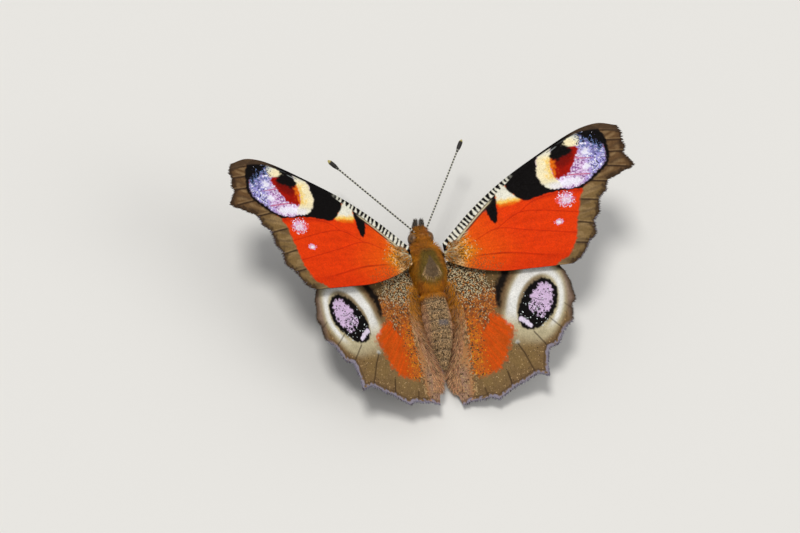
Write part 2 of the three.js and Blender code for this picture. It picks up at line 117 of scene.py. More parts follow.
# Wing plans: u outward from the hinge and v forward, each vein a list of (level, u, v) from the root
# to the margin's last level. A vein with a parent leaves that vein at the fork's level. notch is how far
# the margin draws in at even places on the way to the next vein. The first and last paths are the
# wing's edges.
FORE_PLAN = {
    "levels": 14,
    "veins": [
        {"notch": [], "path": [(0, 0.05, 1.35), (1, 1.1, 2.25), (3, 4.4, 5.0), (6, 9.4, 8.35),
                               (9, 15.9, 11.6), (11, 20.4, 13.55), (12, 22.6, 14.2), (13, 24.9, 14.35),
                               (14, 27.2, 13.65)]},
        {"notch": [0.25, 0.15], "path": [(0, 0.05, 0.9), (3, 4.8, 4.3), (6, 9.9, 7.7), (9, 16.2, 10.9),
                                         (12, 22.8, 13.1), (14, 27.8, 12.3)]},
        {"notch": [0.65, 0.35], "parent": 1, "fork": 8, "path": [(11, 20.6, 11.5), (14, 27.85, 10.4)]},
        {"notch": [-0.3, 0], "parent": 1, "fork": 6,
         "path": [(8, 14.2, 8.9), (11, 20.9, 9.6), (12.5, 24.6, 9.2), (14, 28.7, 7.7)]},
        {"notch": [0.8, 0.6], "parent": 3, "fork": 7,
         "path": [(8, 13.5, 7.5), (9, 16.2, 7.6), (11, 20.2, 7.7), (14, 26.3, 6.7)]},
        {"notch": [0.6, 0.4], "parent": 6, "fork": 7,
         "path": [(8, 13.4, 4.8), (10, 17.2, 5.5), (12, 21, 5.3), (14, 24.15, 4.75)]},
        {"notch": [0.6, 0.35], "parent": 7, "fork": 5,
         "path": [(7, 11.6, 3.7), (9, 14.8, 3.4), (12, 19.6, 2.3), (14, 22.65, 1.75)]},
        {"notch": [0.3, 0.1], "path": [(0, 0.05, 0.3), (3, 4.4, 0.85), (5, 8, 2), (8, 12.4, 1.0),
                                       (12, 18.7, -0.5), (14, 21.65, -1.2)]},
        {"notch": [], "path": [(0, 0.05, -0.4), (3, 4.2, -1.25), (6, 8.6, -1.55), (9, 13.2, -2.65),
                               (14, 19, -4.05)]},
        {"path": [(0, 0.05, -1.1), (2, 2.8, -2.6), (5, 7.2, -3.95), (9, 12.2, -4.45), (14, 17.6, -4.8)]},
    ],
}
HIND_PLAN = {
    "levels": 12,
    "veins": [
        {"notch": [], "path": [(0, 0.3, 1.6), (2, 3.2, 2.8), (5, 8.0, 2.95), (8, 12.6, 2.2),
                               (10, 15.4, 0.5), (12, 17.0, -1.8)]},
        {"notch": [0.1], "path": [(0, 0.3, 0.8), (3, 4.4, 1.4), (7, 10.4, 0.4), (12, 17.6, -3.6)]},
        {"notch": [0.35, 0.2], "path": [(0, 0.3, 0.1), (3, 4.2, -0.7), (7, 10.0, -2.8), (12, 17.95, -6.1)]},
        {"notch": [0.35, 0.2], "parent": 2, "fork": 3,
         "path": [(5, 7.2, -2.9), (8, 11.6, -5.7), (12, 17.1, -9.2)]},
        {"notch": [1.15, 0.8], "parent": 3, "fork": 5,
         "path": [(7, 9.2, -5.9), (9, 11.4, -8.6), (12, 14.65, -12.05)]},
        {"notch": [0.75, 0.4], "parent": 6, "fork": 6,
         "path": [(8, 8.6, -9.3), (10, 10.7, -12.3), (12, 12.55, -16.4)]},
        {"notch": [0.25, 0.1], "parent": 7, "fork": 4,
         "path": [(6, 6.2, -7.9), (9, 8.1, -12.2), (12, 9.0, -16.8)]},
        {"notch": [0.35, 0.1],
         "path": [(0, 0.3, -0.3), (4, 4.2, -5.3), (8, 5.4, -11.4), (12, 5.15, -18.65)]},
        {"notch": [0.2, 0.1],
         "path": [(0, 0.3, -0.65), (4, 2.5, -5.6), (8, 2.5, -12.0), (12, 2.0, -18.35)]},
        {"path": [(0, 0.3, -1.0), (2, 0.35, -3.4), (5, 0.25, -8.2), (7, -0.55, -11.0), (9, -1.25, -13.6),
                  (10, -1.15, -15.2), (12, 0, -18.75)]},
    ],
}

# Each wing's hinge on the body, how far its sheet arches, and how far its inner edge folds down
WINGS = {
    "forewing": {"plan": FORE_PLAN, "hinge": (2.45, 0.0, 0.0), "arch": 0.35, "fold": 0.0},
    "hindwing": {"plan": HIND_PLAN, "hinge": (2.2, -2.9, -1.65), "arch": 0.2, "fold": 0.8},
}

# Outlines and lines of the wing pattern, as points (u, v) of the plan
FORE_SHAPES = {
    "border": [
        (23.2, 15.4), (24.0, 13.8), (24.8, 12.7), (25.2, 11.2), (25.2, 9.9), (24.9, 8.7), (24.0, 7.75),
        (23.0, 6.95), (22.0, 6.3), (21.2, 5.75), (20.9, 5.0), (20.4, 4.3), (20.2, 3.2), (19.8, 2.0),
        (19.4, 0.9), (19.2, -0.4), (18.8, -1.6), (18.1, -2.8), (17.2, -3.7), (15.8, -4.35), (14.5, -6.0),
        (21, -7), (27, 0), (33, 6), (31, 16)],
    "cream patch": [
        (8.55, 7.4), (8.6, 6.4), (8.7, 5.6), (8.9, 4.8), (10.0, 4.7), (11.2, 5.0), (12.0, 5.5),
        (11.3, 6.3), (10.6, 7.0), (10.2, 7.6), (9.9, 8.4), (9.1, 8.2)],
    "bar": [
        (8.6, 7.4), (8.62, 6.2), (8.5, 5.2), (8.5, 4.2), (8.3, 3.1), (7.95, 2.65), (7.6, 2.95),
        (7.3, 3.7), (7.0, 4.5), (6.95, 5.2), (7.0, 5.9), (7.3, 6.6)],
    "black patch": [
        (10.0, 9.2), (10.15, 7.9), (10.6, 7.05), (11.35, 6.2), (12.1, 5.55), (13.0, 5.25), (14.2, 5.4),
        (15.2, 5.55), (16.4, 5.7), (18.0, 5.68), (19.6, 5.6), (20.9, 5.6), (21.9, 6.05), (22.9, 6.7),
        (24.0, 7.4), (25.1, 8.2), (25.55, 9.3), (25.6, 10.6), (25.5, 11.8), (25.1, 12.9), (24.3, 13.9),
        (22.5, 14.6), (20.5, 14.2), (18.0, 13.2), (15.5, 12.1), (12.6, 10.6)],
    "eyespot": [
        (16.7, 12.2), (15.35, 11.0), (15.1, 9.6), (15.05, 8.4), (15.4, 7.45), (16.1, 6.6), (16.9, 6.15),
        (18.2, 5.95), (19.8, 5.85), (20.8, 6.0), (21.7, 6.5), (22.7, 7.1), (23.7, 7.8), (24.6, 8.5),
        (25.0, 9.5), (25.05, 10.6), (24.8, 11.7), (24.1, 12.8), (23.0, 13.4), (21.6, 13.5), (20.2, 13.3),
        (18.6, 12.75)],
    "white lobe": [
        (16.2, 7.2), (16.6, 6.5), (17.8, 6.25), (19.3, 6.2), (20.6, 6.2), (21.3, 6.6), (20.9, 7.15),
        (19.2, 7.25), (17.6, 7.15)],
    "red": [
        (17.1, 10.5), (16.9, 9.6), (17.15, 8.6), (17.15, 7.8), (17.6, 7.45), (18.4, 7.55), (19.2, 7.8),
        (19.8, 8.3), (20.3, 9.0), (20.6, 9.7), (21.0, 10.4), (21.35, 11.3), (21.1, 11.75), (20.3, 11.7),
        (19.0, 11.2), (18.0, 10.8)],
    "rim": [
        (17.0, 10.6), (17.4, 11.9), (17.5, 12.6), (19.0, 13.1), (20.6, 13.5), (20.8, 12.0), (20.2, 11.2),
        (18.6, 10.6)],
    "maroon": [
        (17.6, 10.5), (17.7, 9.6), (18.6, 9.1), (19.6, 9.3), (20.2, 9.9), (20.5, 10.8), (20.3, 11.4),
        (19.4, 11.1), (18.4, 10.9)],
    "ring": [
        (16.1, 11.65), (15.3, 10.85), (15.15, 10.0), (14.98, 9.0), (15.1, 8.0), (15.6, 7.05),
        (16.2, 6.4), (17.2, 6.1), (18.2, 6.2), (17.9, 6.8), (17.35, 7.6), (17.15, 8.4), (17.0, 9.3),
        (17.0, 10.2), (17.3, 10.7), (17.45, 11.3), (17.5, 11.9), (17.5, 12.35), (16.8, 12.1)],
    "pupil": [
        (17.15, 10.9), (17.9, 11.6), (18.6, 12.3), (19.2, 12.9), (19.6, 12.6), (19.4, 12.1),
        (19.7, 11.75), (20.4, 11.5), (20.35, 11.0), (19.8, 10.7), (18.9, 10.45), (18.2, 10.15),
        (17.5, 10.35)],
    "front mark": [
        (19.35, 12.1), (19.6, 12.5), (20.0, 13.0), (20.7, 13.35), (21.5, 13.3), (21.8, 12.6),
        (21.6, 12.1), (21.5, 11.65), (20.6, 11.75), (20.0, 11.85)],
    "folds": [
        [(25.0, 13.3), (27.8, 12.8)], [(25.6, 11.7), (27.8, 11.4)], [(25.3, 10.05), (27.8, 9.75)],
        [(25.0, 8.05), (27.6, 7.5)], [(22.4, 6.35), (24.9, 5.85)], [(20.2, 4.05), (23.2, 3.4)],
        [(19.2, 1.0), (21.8, 0.3)], [(18.3, -1.85), (20.6, -2.35)]],
    "eyespot lines": [
        [(20.3, 10.0), (21.6, 9.8), (24.4, 9.4)], [(18.2, 7.75), (20.2, 7.65), (22.4, 7.35)]],
}
HIND_SHAPES = {
    "orange": [
        (5.5, -5.6), (6.6, -6.6), (7.8, -7.7), (8.6, -8.8), (8.75, -9.7), (8.3, -10.5), (7.8, -11.4),
        (7.4, -12.4), (6.5, -13.8), (5.4, -14.7), (4.0, -15.1), (2.4, -14.9), (1.6, -13.5), (2.1, -9.5),
        (2.3, -6.5), (4.0, -5.0)],
    "crescent": [
        (9.7, -0.2), (9.4, -1.2), (8.8, -2.2), (8.25, -3.0), (7.85, -4.0), (7.6, -5.0), (7.3, -5.65),
        (6.95, -5.55), (6.8, -4.6), (6.9, -3.6), (7.1, -2.7), (7.55, -1.8), (8.1, -1.1), (8.4, -0.2)],
    "eyespot": [
        (13.0, -2.7), (13.9, -2.55), (15.0, -3.1), (15.6, -4.0), (15.75, -5.0), (15.4, -6.5),
        (14.9, -7.4), (14.2, -8.2), (13.3, -9.0), (12.3, -9.5), (11.2, -9.65), (10.2, -9.3), (9.8, -8.8),
        (9.6, -8.1), (9.7, -7.0), (10.0, -6.0), (10.6, -4.9), (11.3, -3.9), (12.2, -3.1)],
    "blotch": [
        (13.0, -3.6), (13.6, -3.3), (14.3, -3.4), (15.0, -4.0), (15.05, -4.8), (14.8, -5.6),
        (14.6, -6.3), (14.1, -7.1), (13.5, -7.8), (13.0, -8.1), (12.4, -7.9), (12.3, -7.4), (11.8, -7.1),
        (11.2, -6.7), (11.5, -6.0), (11.8, -5.3), (12.2, -4.6), (12.6, -4.1)],
    "bar": [
        (9.7, -8.0), (10.1, -7.65), (10.6, -7.9), (11.05, -8.5), (11.5, -9.1), (11.2, -9.25),
        (10.7, -9.05), (10.2, -8.5)],
}
HIND_FOLDS = [
    {"width": 0.1, "path": [(16.4, -6.6), (17.8, -8.0)]},
    {"width": 0.14, "path": [(14.0, -8.4), (15.6, -10.2)]},
    {"width": 0.17, "path": [(11.5, -10.0), (12.6, -11.6), (13.6, -13.2)]},
    {"width": 0.18, "path": [(8.9, -11.2), (9.7, -12.8), (10.7, -15.6)]},
    {"width": 0.22, "path": [(6.9, -15.0), (7.2, -16.4), (7.2, -17.2)]},
    {"width": 0.14, "path": [(3.4, -16.8), (3.7, -18.3)]},
]
HIND_EYE = {"centre": (12.65, -6.15), "radii": (3.75, 2.45), "lean": 64.5}
LARGE_SPOT = (18.4, 4.4)
SMALL_SPOT = (16.85, 1.35)

# Nets: steps from level to level, space between rows, the coarser under face, the size of a scale,
# steps in a millimetre that points are joined by, and the shift of the underside's scales
FINE = 16
NET_SPACING = 0.13
UNDER_STEP = 3
SCALE_SIZE = 0.13
WELD_STEPS = 2000
UNDER_SHIFT = 40.0

# Fringe: the space between its scales, and for each wing the v behind which some are pale, and their share
FRINGE_SPACING = 0.035
FRINGE_PALE = {"forewing": (6, 0.3), "hindwing": (-9, 0.85)}

# A tuft: stations of (fraction along, share of the full width), its height as a share of its width, its
# triangles, and the side of its patch on the bake map
TUFT_STATIONS = ((0.0, 1.0), (0.5, 0.75), (1.0, 0.0))
TUFT_FLATNESS = 0.55
TUFT_FACES = [(0, 1, 4), (0, 4, 3), (1, 2, 5), (1, 5, 4), (2, 0, 3), (2, 3, 5), (3, 4, 6), (4, 5, 6),
              (5, 3, 6), (2, 1, 0)]
PATCH = 0.003

# Legs: knots over the floor, measured from under the hinges, on the right side, and the radius at each.
# The foot starts at FOOT_KNOT.
WALKING_RADII = (0.36, 0.38, 0.33, 0.28, 0.2, 0.2, 0.19, 0.16)
LEGS = {
    "midleg": {"walks": True, "radii": WALKING_RADII, "knots": [
        (1.1, 0.3, 5.0), (2.6, 0.6, 5.6), (4.9, 1.0, 5.9), (5.5, 1.2, 5.5), (8.2, 2.9, 1.1),
        (8.7, 3.3, 0.5), (9.5, 3.9, 0.2), (11.2, 5.2, 0.19)]},
    "hindleg": {"walks": True, "radii": WALKING_RADII, "knots": [
        (1.1, -2.4, 4.5), (2.5, -3.1, 4.5), (4.4, -4.1, 4.8), (5.0, -4.6, 4.5), (7.0, -8.1, 1.1),
        (7.3, -8.6, 0.5), (7.8, -9.4, 0.2), (8.9, -11.3, 0.19)]},
    "foreleg": {"walks": False, "radii": (0.3, 0.3, 0.27, 0.24, 0.1), "knots": [
        (0.7, 1.0, 5.2), (0.75, 2.6, 4.7), (0.8, 3.2, 4.55), (0.75, 3.9, 4.5), (0.65, 4.6, 4.6)]},
}
LEG_SIDES = 14
LEG_SPINES = 16
FOOT_KNOT = 5

# Stage
FLOOR_HALF = 900.0
SKY_COLOUR = (0.93, 0.95, 1.0)
SKY_STRENGTH = 0.5
LAMPS = [
    {"name": "key", "toward": (0.3, -0.1, -1.0), "strength": 1.65, "angle": 14},
    {"name": "fill", "toward": (-0.9, 0.5, -0.9), "strength": 0.45, "angle": 40},
]

# Colours as seen, in 0 to 255
COLOURS = {
    "red": (229, 60, 8), "deep_red": (186, 36, 6), "blood": (160, 20, 4), "flame": (240, 116, 18),
    "crimson": (190, 44, 62), "yellow": (250, 206, 96), "cream": (249, 234, 188), "ivory": (236, 232, 212),
    "black": (14, 11, 10), "maroon": (112, 14, 6), "brown": (102, 74, 46), "khaki": (128, 102, 62),
    "dark_brown": (50, 35, 25), "bark": (76, 58, 42), "umber": (108, 82, 56), "gold": (214, 142, 30),
    "ochre": (186, 112, 44), "tan": (182, 150, 104), "sand": (196, 184, 148), "white": (242, 238, 246),
    "lilac": (220, 180, 220), "blush": (212, 184, 214), "plum": (140, 86, 142), "navy": (42, 44, 82),
    "periwinkle": (152, 150, 214), "steel_blue": (104, 128, 176), "mist": (206, 212, 208),
    "pearl": (232, 230, 222), "dusk": (140, 118, 108), "rust": (160, 84, 38), "hind_orange": (190, 78, 16),
    "hot_orange": (216, 78, 12), "hind_brown": (124, 98, 62), "pink_tan": (206, 152, 116),
    "under": (44, 35, 28), "under_dark": (17, 13, 11), "under_pale": (98, 80, 62), "hair": (184, 128, 80),
    "fur": (212, 136, 32), "fur_dark": (112, 76, 28), "olive": (126, 112, 50), "bare": (128, 102, 72),
    "eye": (122, 86, 46), "eye_dark": (66, 46, 30), "fringe": (140, 134, 148), "smoke": (112, 110, 104),
    "wheat": (232, 190, 136), "leg": (88, 66, 44), "horn": (30, 24, 18), "slate": (84, 62, 60),
    "steel": (112, 114, 124), "floor": (226, 223, 216), "ring": (206, 204, 186),
    "club_tip": (186, 172, 104),
}


def linear(colour):
    """A seen colour as linear light."""
    share = np.asarray(colour, float) / 255
    return np.where(share <= 0.04045, share / 12.92, ((share + 0.055) / 1.055) ** 2.4)


TONE = {name: linear(colour) for name, colour in COLOURS.items()}


def smooth(low, high, value):
    t = np.clip((value - low) / (high - low), 0, 1)
    return t * t * (3 - 2 * t)


def mixed(first, second, share):
    """Tones between the first and the second, by the second's share."""
    return first + (second - first) * np.asarray(share)[..., None]


def turn(axis, degrees):
    return np.array(Matrix.Rotation(math.radians(degrees), 3, axis))


def unit(vectors):
    return vectors / np.maximum(np.linalg.norm(vectors, axis=-1, keepdims=True), 1e-9)


def pitched(ways):
    """Directions in the body's frame turned into the row frame."""
    return np.asarray(ways, float) @ turn("X", PITCH).T


def from_body(points):
    """Points in the body's frame, in millimetres, placed in the row frame."""
    return pitched(points) + (0, HINGE_Y, HINGE_HEIGHT)


def from_legs(points):
    return np.asarray(points, float) + (0, HINGE_Y, 0)


class Lattice:
    """Smooth random values over a plane or space, repeatable by seed."""

    SIZE = 4096
    PRIMES = np.array([73856093, 19349663, 83492791])

    def __init__(self, seed):
        self.table = np.random.default_rng(seed).random(self.SIZE)

    def corner(self, cells):
        return self.table[np.mod(cells @ self.PRIMES[: cells.shape[-1]], self.SIZE)]

    def __call__(self, points, size):
        places = np.asarray(points, float) / size
        low = np.floor(places).astype(np.int64)
        part = places - low
        part = part * part * (3 - 2 * part)
        total = 0
        axes = np.arange(places.shape[-1])
        for k in range(2 ** len(axes)):
            step = (k >> axes) & 1
            weight = np.prod(np.where(step, part, 1 - part), axis=-1)
            total = total + weight * self.corner(low + step)
        return total


noise = Lattice(SEED)


# Meshes


def mesh_object(name, points, faces, smooth_faces=True):
    """A piece from points in the row frame, in millimetres, and triangles."""
    mesh = bpy.data.meshes.new(name)
    faces = np.asarray(faces, np.int32)
    mesh.vertices.add(len(points))
    mesh.vertices.foreach_set("co", (np.asarray(points, float) * MM).astype(np.float32).ravel())
    mesh.loops.add(faces.size)
    mesh.loops.foreach_set("vertex_index", faces.ravel())
    mesh.polygons.add(len(faces))
    mesh.polygons.foreach_set("loop_start", np.arange(0, faces.size, 3, dtype=np.int32))
    mesh.update(calc_edges=True)
    if smooth_faces:
        mesh.shade_smooth()
    piece = bpy.data.objects.new(name, mesh)
    bpy.context.scene.collection.objects.link(piece)
    return piece


def face_outward(piece):
    shape = bmesh.new()
    shape.from_mesh(piece.data)
    bmesh.ops.recalc_face_normals(shape, faces=shape.faces)
    shape.to_mesh(piece.data)
    shape.free()


def set_colour(piece, name, colours):
    values = np.ones((len(piece.data.vertices), 4), np.float32)
    values[:, :3] = colours
    layer = piece.data.attributes.new(name, "FLOAT_COLOR", "POINT")
    layer.data.foreach_set("color", values.ravel())


def set_value(piece, name, values):
    layer = piece.data.attributes.new(name, "FLOAT", "POINT")
    layer.data.foreach_set("value", np.asarray(values, np.float32))


def set_vector(piece, name, vectors):
    layer = piece.data.attributes.new(name, "FLOAT_VECTOR", "POINT")
    layer.data.foreach_set("vector", np.asarray(vectors, np.float32).ravel())


def set_bake_map(piece, corner_places):
    layer = piece.data.uv_layers.new(name="OFBake")
    layer.uv.foreach_set("vector", np.asarray(corner_places, np.float32).ravel())


def corners(piece):
    index = np.zeros(len(piece.data.loops), np.int32)
    piece.data.loops.foreach_get("vertex_index", index)
    return index


def dress(piece, material, slot, *nodes):
    """Gives a piece its material, makes it ride, and hides the nodes it stands for. slot is not used."""
    piece.data.materials.append(material)
    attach(piece, "root")
    if nodes:
        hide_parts(*nodes)


def make_shell(name, points, faces, tone, material, slot, *nodes):
    """A closed piece that carries its own colour, from points in the row frame."""
    piece = mesh_object(name, points, faces)
    set_colour(piece, "coat", tone)
    face_outward(piece)
    dress(piece, material, slot, *nodes)


def tube_faces(rings, sides):
    """Triangles of a closed tube whose points are its rings in order and then one for each end."""
    ring = np.arange(sides)
    following = (ring + 1) % sides
    faces = []
    for i in range(rings - 1):
        a, b = i * sides + ring, i * sides + following
        faces += [np.stack([a, b, b + sides], 1), np.stack([a, b + sides, a + sides], 1)]
    first, last, end = rings * sides, rings * sides + 1, (rings - 1) * sides
    faces.append(np.stack([np.full(sides, first), following, ring], 1))
    faces.append(np.stack([np.full(sides, last), end + ring, end + following], 1))
    return np.vstack(faces)


def square_to(heading, up=(0, 0, 1)):
    """Two directions square to a heading: one across it and one over it."""
    across = unit(np.cross(heading, up))
    return across, np.cross(across, heading)


def sweep(points, radii, sides, up=(0, 0, 1)):
    """A closed round limb through the points, as (points, triangles, fraction along at each point)."""
    points = np.asarray(points, float)
    across, over = square_to(unit(np.gradient(points, axis=0)), up)
    angles = 2 * np.pi * np.arange(sides) / sides
    wide = np.asarray(radii, float)[:, None, None]
    rings = (points[:, None] + wide * np.cos(angles)[None, :, None] * across[:, None]
             + wide * np.sin(angles)[None, :, None] * over[:, None])
    places = np.vstack([rings.reshape(-1, 3), points[:1], points[-1:]])
    along = np.append(np.repeat(np.linspace(0, 1, len(points)), sides), [0, 1])
    return places, tube_faces(len(points), sides), along


def joined(parts):
    """Several (points, triangles, values) sets as one."""
    points, faces, values = zip(*parts)
    starts = np.cumsum([0] + [len(some) for some in points[:-1]])
    moved = [some + start for some, start in zip(faces, starts)]
    return np.vstack(points), np.vstack(moved), np.concatenate(values)


def run_of(points):
    """How far along a line each of its points lies."""
    return np.append(0, np.cumsum(np.linalg.norm(np.diff(points, axis=0), axis=1)))


def through(knots, marks, wanted):
    """Points on a smooth path through the knots, at wanted places between the knots' marks."""
    padded = np.vstack([2 * knots[0] - knots[1], knots, 2 * knots[-1] - knots[-2]])
    places = []
    for mark in wanted:
        i = int(min(max(np.searchsorted(marks, mark, side="right") - 1, 0), len(knots) - 2))
        places.append(spline(*padded[i:i + 4], (mark - marks[i]) / (marks[i + 1] - marks[i])))
    return np.array(places)


def along_path(knots, values, fractions):
    """Points and values on a smooth path through the knots, at fractions of its length."""
    knots = np.asarray(knots, float)
    steps = run_of(knots)
    wanted = np.asarray(fractions) * steps[-1]
    return through(knots, steps, wanted), np.interp(wanted, steps, values)


def spline(p0, p1, p2, p3, t):
    """The centripetal spline's point between p1 and p2."""
    d0, d1, d2 = (max(np.sum((b - a) ** 2) ** 0.25, 1e-3) for a, b in ((p0, p1), (p1, p2), (p2, p3)))
    m1 = ((p1 - p0) / d0 - (p2 - p0) / (d0 + d1) + (p2 - p1) / d1) * d1
    m2 = ((p2 - p1) / d1 - (p3 - p1) / (d1 + d2) + (p3 - p2) / d2) * d1
    cubic = 2 * p1 - 2 * p2 + m1 + m2
    square = -3 * p1 + 3 * p2 - 2 * m1 - m2
    return ((cubic * t + square) * t + m1) * t + p1


def tufts(name, roots, normals, lie, length, width, rise, root_tone, tip_tone, patches, sink=0.12):
    """Tapered, bent hairs of solid mesh over a surface. lie is the way each one leans, rise how far it
    stands off as a share of its length, and patches its root's place on the skin's unwrap."""
    count = len(roots)
    length, width, rise = (np.broadcast_to(x, count)[:, None] for x in (length, width, rise))
    side = unit(np.cross(lie, normals))
    places, tones, spots = [], [], []
    for along, wide in TUFT_STATIONS:
        height = rise * length * along * (1.15 - 0.5 * along)
        centre = roots + lie * length * along + normals * (height - sink * (along == 0))
        for k in range(3 if wide else 1):
            angle = math.radians(90 + 120 * k)
            offset = side * math.cos(angle) + TUFT_FLATNESS * normals * math.sin(angle)
            places.append(centre + offset * width * wide / 2)
            tones.append(mixed(root_tone, tip_tone, along))
            spots.append(patches + (PATCH * along, PATCH / 2 * k))
    points = np.stack(places, 1).reshape(-1, 3)
    faces = (np.array(TUFT_FACES) + len(places) * np.arange(count)[:, None, None]).reshape(-1, 3)
    piece = mesh_object(name, points, faces)
    set_colour(piece, "coat", np.stack(tones, 1).reshape(-1, 3))
    set_bake_map(piece, np.stack(spots, 1).reshape(-1, 2)[corners(piece)])
    return piece


# Materials


def wired(tree, kind, inputs, **settings):
    """A node with its settings, and its inputs set or linked."""
    made = tree.nodes.new(kind)
    for key, value in settings.items():
        setattr(made, key, value)
    for key, value in inputs.items():
        if isinstance(value, bpy.types.NodeSocket):
            tree.links.new(value, made.inputs[key])
        else:
            made.inputs[key].default_value = value
    return made


def arithmetic(tree, operation, first, second):
    return wired(tree, "ShaderNodeMath", {0: first, 1: second}, operation=operation).outputs[0]


def piece_place(tree):
    """The place on a piece, in metres."""
    return wired(tree, "ShaderNodeTexCoord", {}).outputs["Object"]


def blended(tree, share, first, second, mode="MIX"):
    made = wired(tree, "ShaderNodeMix", {0: share, 6: first, 7: second}, data_type="RGBA", blend_type=mode)
    return made.outputs[2]


def attribute(tree, name, output):
    return wired(tree, "ShaderNodeAttribute", {}, attribute_name=name).outputs[output]


def rgba(tone):
    return (*tone, 1.0)


def new_material(name):
    material = bpy.data.materials.new(name)
    material.use_nodes = True
    tree = material.node_tree
    tree.nodes.clear()
    return material, tree


def finished(tree, colour, roughness, height=None, bump=0.00002, strength=0.5, **sockets):
    """The shader that all these materials end in."""
    inputs = {"Base Color": colour, "Roughness": roughness}
    inputs.update({key.replace("_", " "): value for key, value in sockets.items()})
    if height is not None:
        relief = wired(tree, "ShaderNodeBump", {"Strength": strength, "Distance": bump, "Height": height})
        inputs["Normal"] = relief.outputs[0]
    shader = wired(tree, "ShaderNodeBsdfPrincipled", inputs)
    wired(tree, "ShaderNodeOutputMaterial", {"Surface": shader.outputs[0]})


def wing_material():
    """Scales in small cells. Each cell takes the ground's or the dust's colour, and its own lightness."""
    material, tree = new_material("wing_scales")
    plan = attribute(tree, "plan", "Vector")
    cells = wired(tree, "ShaderNodeTexVoronoi", {"Vector": plan, "Scale": 1 / SCALE_SIZE})
    parts = wired(tree, "ShaderNodeSeparateColor", {0: cells.outputs["Color"]})
    dusted = arithmetic(tree, "LESS_THAN", parts.outputs[0], attribute(tree, "amount", "Fac"))
    colour = blended(tree, dusted, attribute(tree, "ground", "Color"), attribute(tree, "dust", "Color"))
    shade = wired(tree, "ShaderNodeMapRange", {0: parts.outputs[1], 3: 0.84, 4: 1.1}).outputs[0]
    cloud = wired(tree, "ShaderNodeTexNoise", {"Vector": plan, "Scale": 0.9, "Detail": 5.0})
    soft = wired(tree, "ShaderNodeMapRange", {0: cloud.outputs[0], 1: 0.3, 2: 0.7, 3: 0.9, 4: 1.06})
    light = arithmetic(tree, "MULTIPLY", shade, soft.outputs[0])
    colour = blended(tree, 1.0, colour, light, "MULTIPLY")
    gloss = wired(tree, "ShaderNodeMapRange", {0: parts.outputs[2], 3: 0.6, 4: 0.9})
    finished(tree, colour, gloss.outputs[0], cells.outputs["Distance"], 0.00003, 0.35,
             Specular_IOR_Level=0.06)
    return material


def coat_material(name, roughness=0.7):
    """Hairs: the mesh's own colour with a fine change from hair to hair."""
    material, tree = new_material(name)
    place = piece_place(tree)
    grain = wired(tree, "ShaderNodeTexNoise", {"Vector": place, "Scale": 5000.0, "Detail": 2.0})
    light = wired(tree, "ShaderNodeMapRange", {0: grain.outputs[0], 1: 0.3, 2: 0.7, 3: 0.78, 4: 1.18})
    colour = blended(tree, 1.0, attribute(tree, "coat", "Color"), light.outputs[0], "MULTIPLY")
    finished(tree, colour, roughness, grain.outputs[0], 0.00001, 0.3, Specular_IOR_Level=0.2)
    return material


def painted_material(name, roughness, size, bump):
    """A horny surface that carries the mesh's own colour, finely pitted."""
    material, tree = new_material(name)
    place = piece_place(tree)
    cells = wired(tree, "ShaderNodeTexVoronoi", {"Vector": place, "Scale": 1 / (size * MM)})
    parts = wired(tree, "ShaderNodeSeparateColor", {0: cells.outputs["Color"]})
    light = wired(tree, "ShaderNodeMapRange", {0: parts.outputs[0], 3: 0.75, 4: 1.2})
    colour = blended(tree, 1.0, attribute(tree, "coat", "Color"), light.outputs[0], "MULTIPLY")
    finished(tree, colour, roughness, cells.outputs["Distance"], bump * MM, 0.6, Specular_IOR_Level=0.4)
    return material


def eye_material():
    """Facets over a brown eye with darker patches."""
    material, tree = new_material("compound_eye")
    place = piece_place(tree)
    facets = wired(tree, "ShaderNodeTexVoronoi", {"Vector": place, "Scale": 1 / (0.045 * MM)})
    patch = wired(tree, "ShaderNodeTexNoise", {"Vector": place, "Scale": 1.8 / MM, "Detail": 2.0})
    share = wired(tree, "ShaderNodeMapRange", {0: patch.outputs[0], 1: 0.4, 2: 0.62})
    colour = blended(tree, share.outputs[0], rgba(TONE["eye"]), rgba(TONE["eye_dark"]))
    finished(tree, colour, 0.38, facets.outputs["Distance"], 0.00001, 0.5, Specular_IOR_Level=0.4)
    return material


# Wings


def vein_path(plan, vein):
    """A vein's points at every fine level."""
    start = np.zeros((0, 2))
    knots = vein["path"]
    if "parent" in vein:
        start = vein_path(plan, plan["veins"][vein["parent"]])[: vein["fork"] * FINE + 1]
        knots = [(vein["fork"], *start[-1]), *knots]
    levels = np.array([knot[0] for knot in knots], float)
    points = np.array([knot[1:] for knot in knots], float)
    wanted = np.arange(len(start), plan["levels"] * FINE + 1) / FINE
    return np.vstack([start, through(points, levels, wanted)])


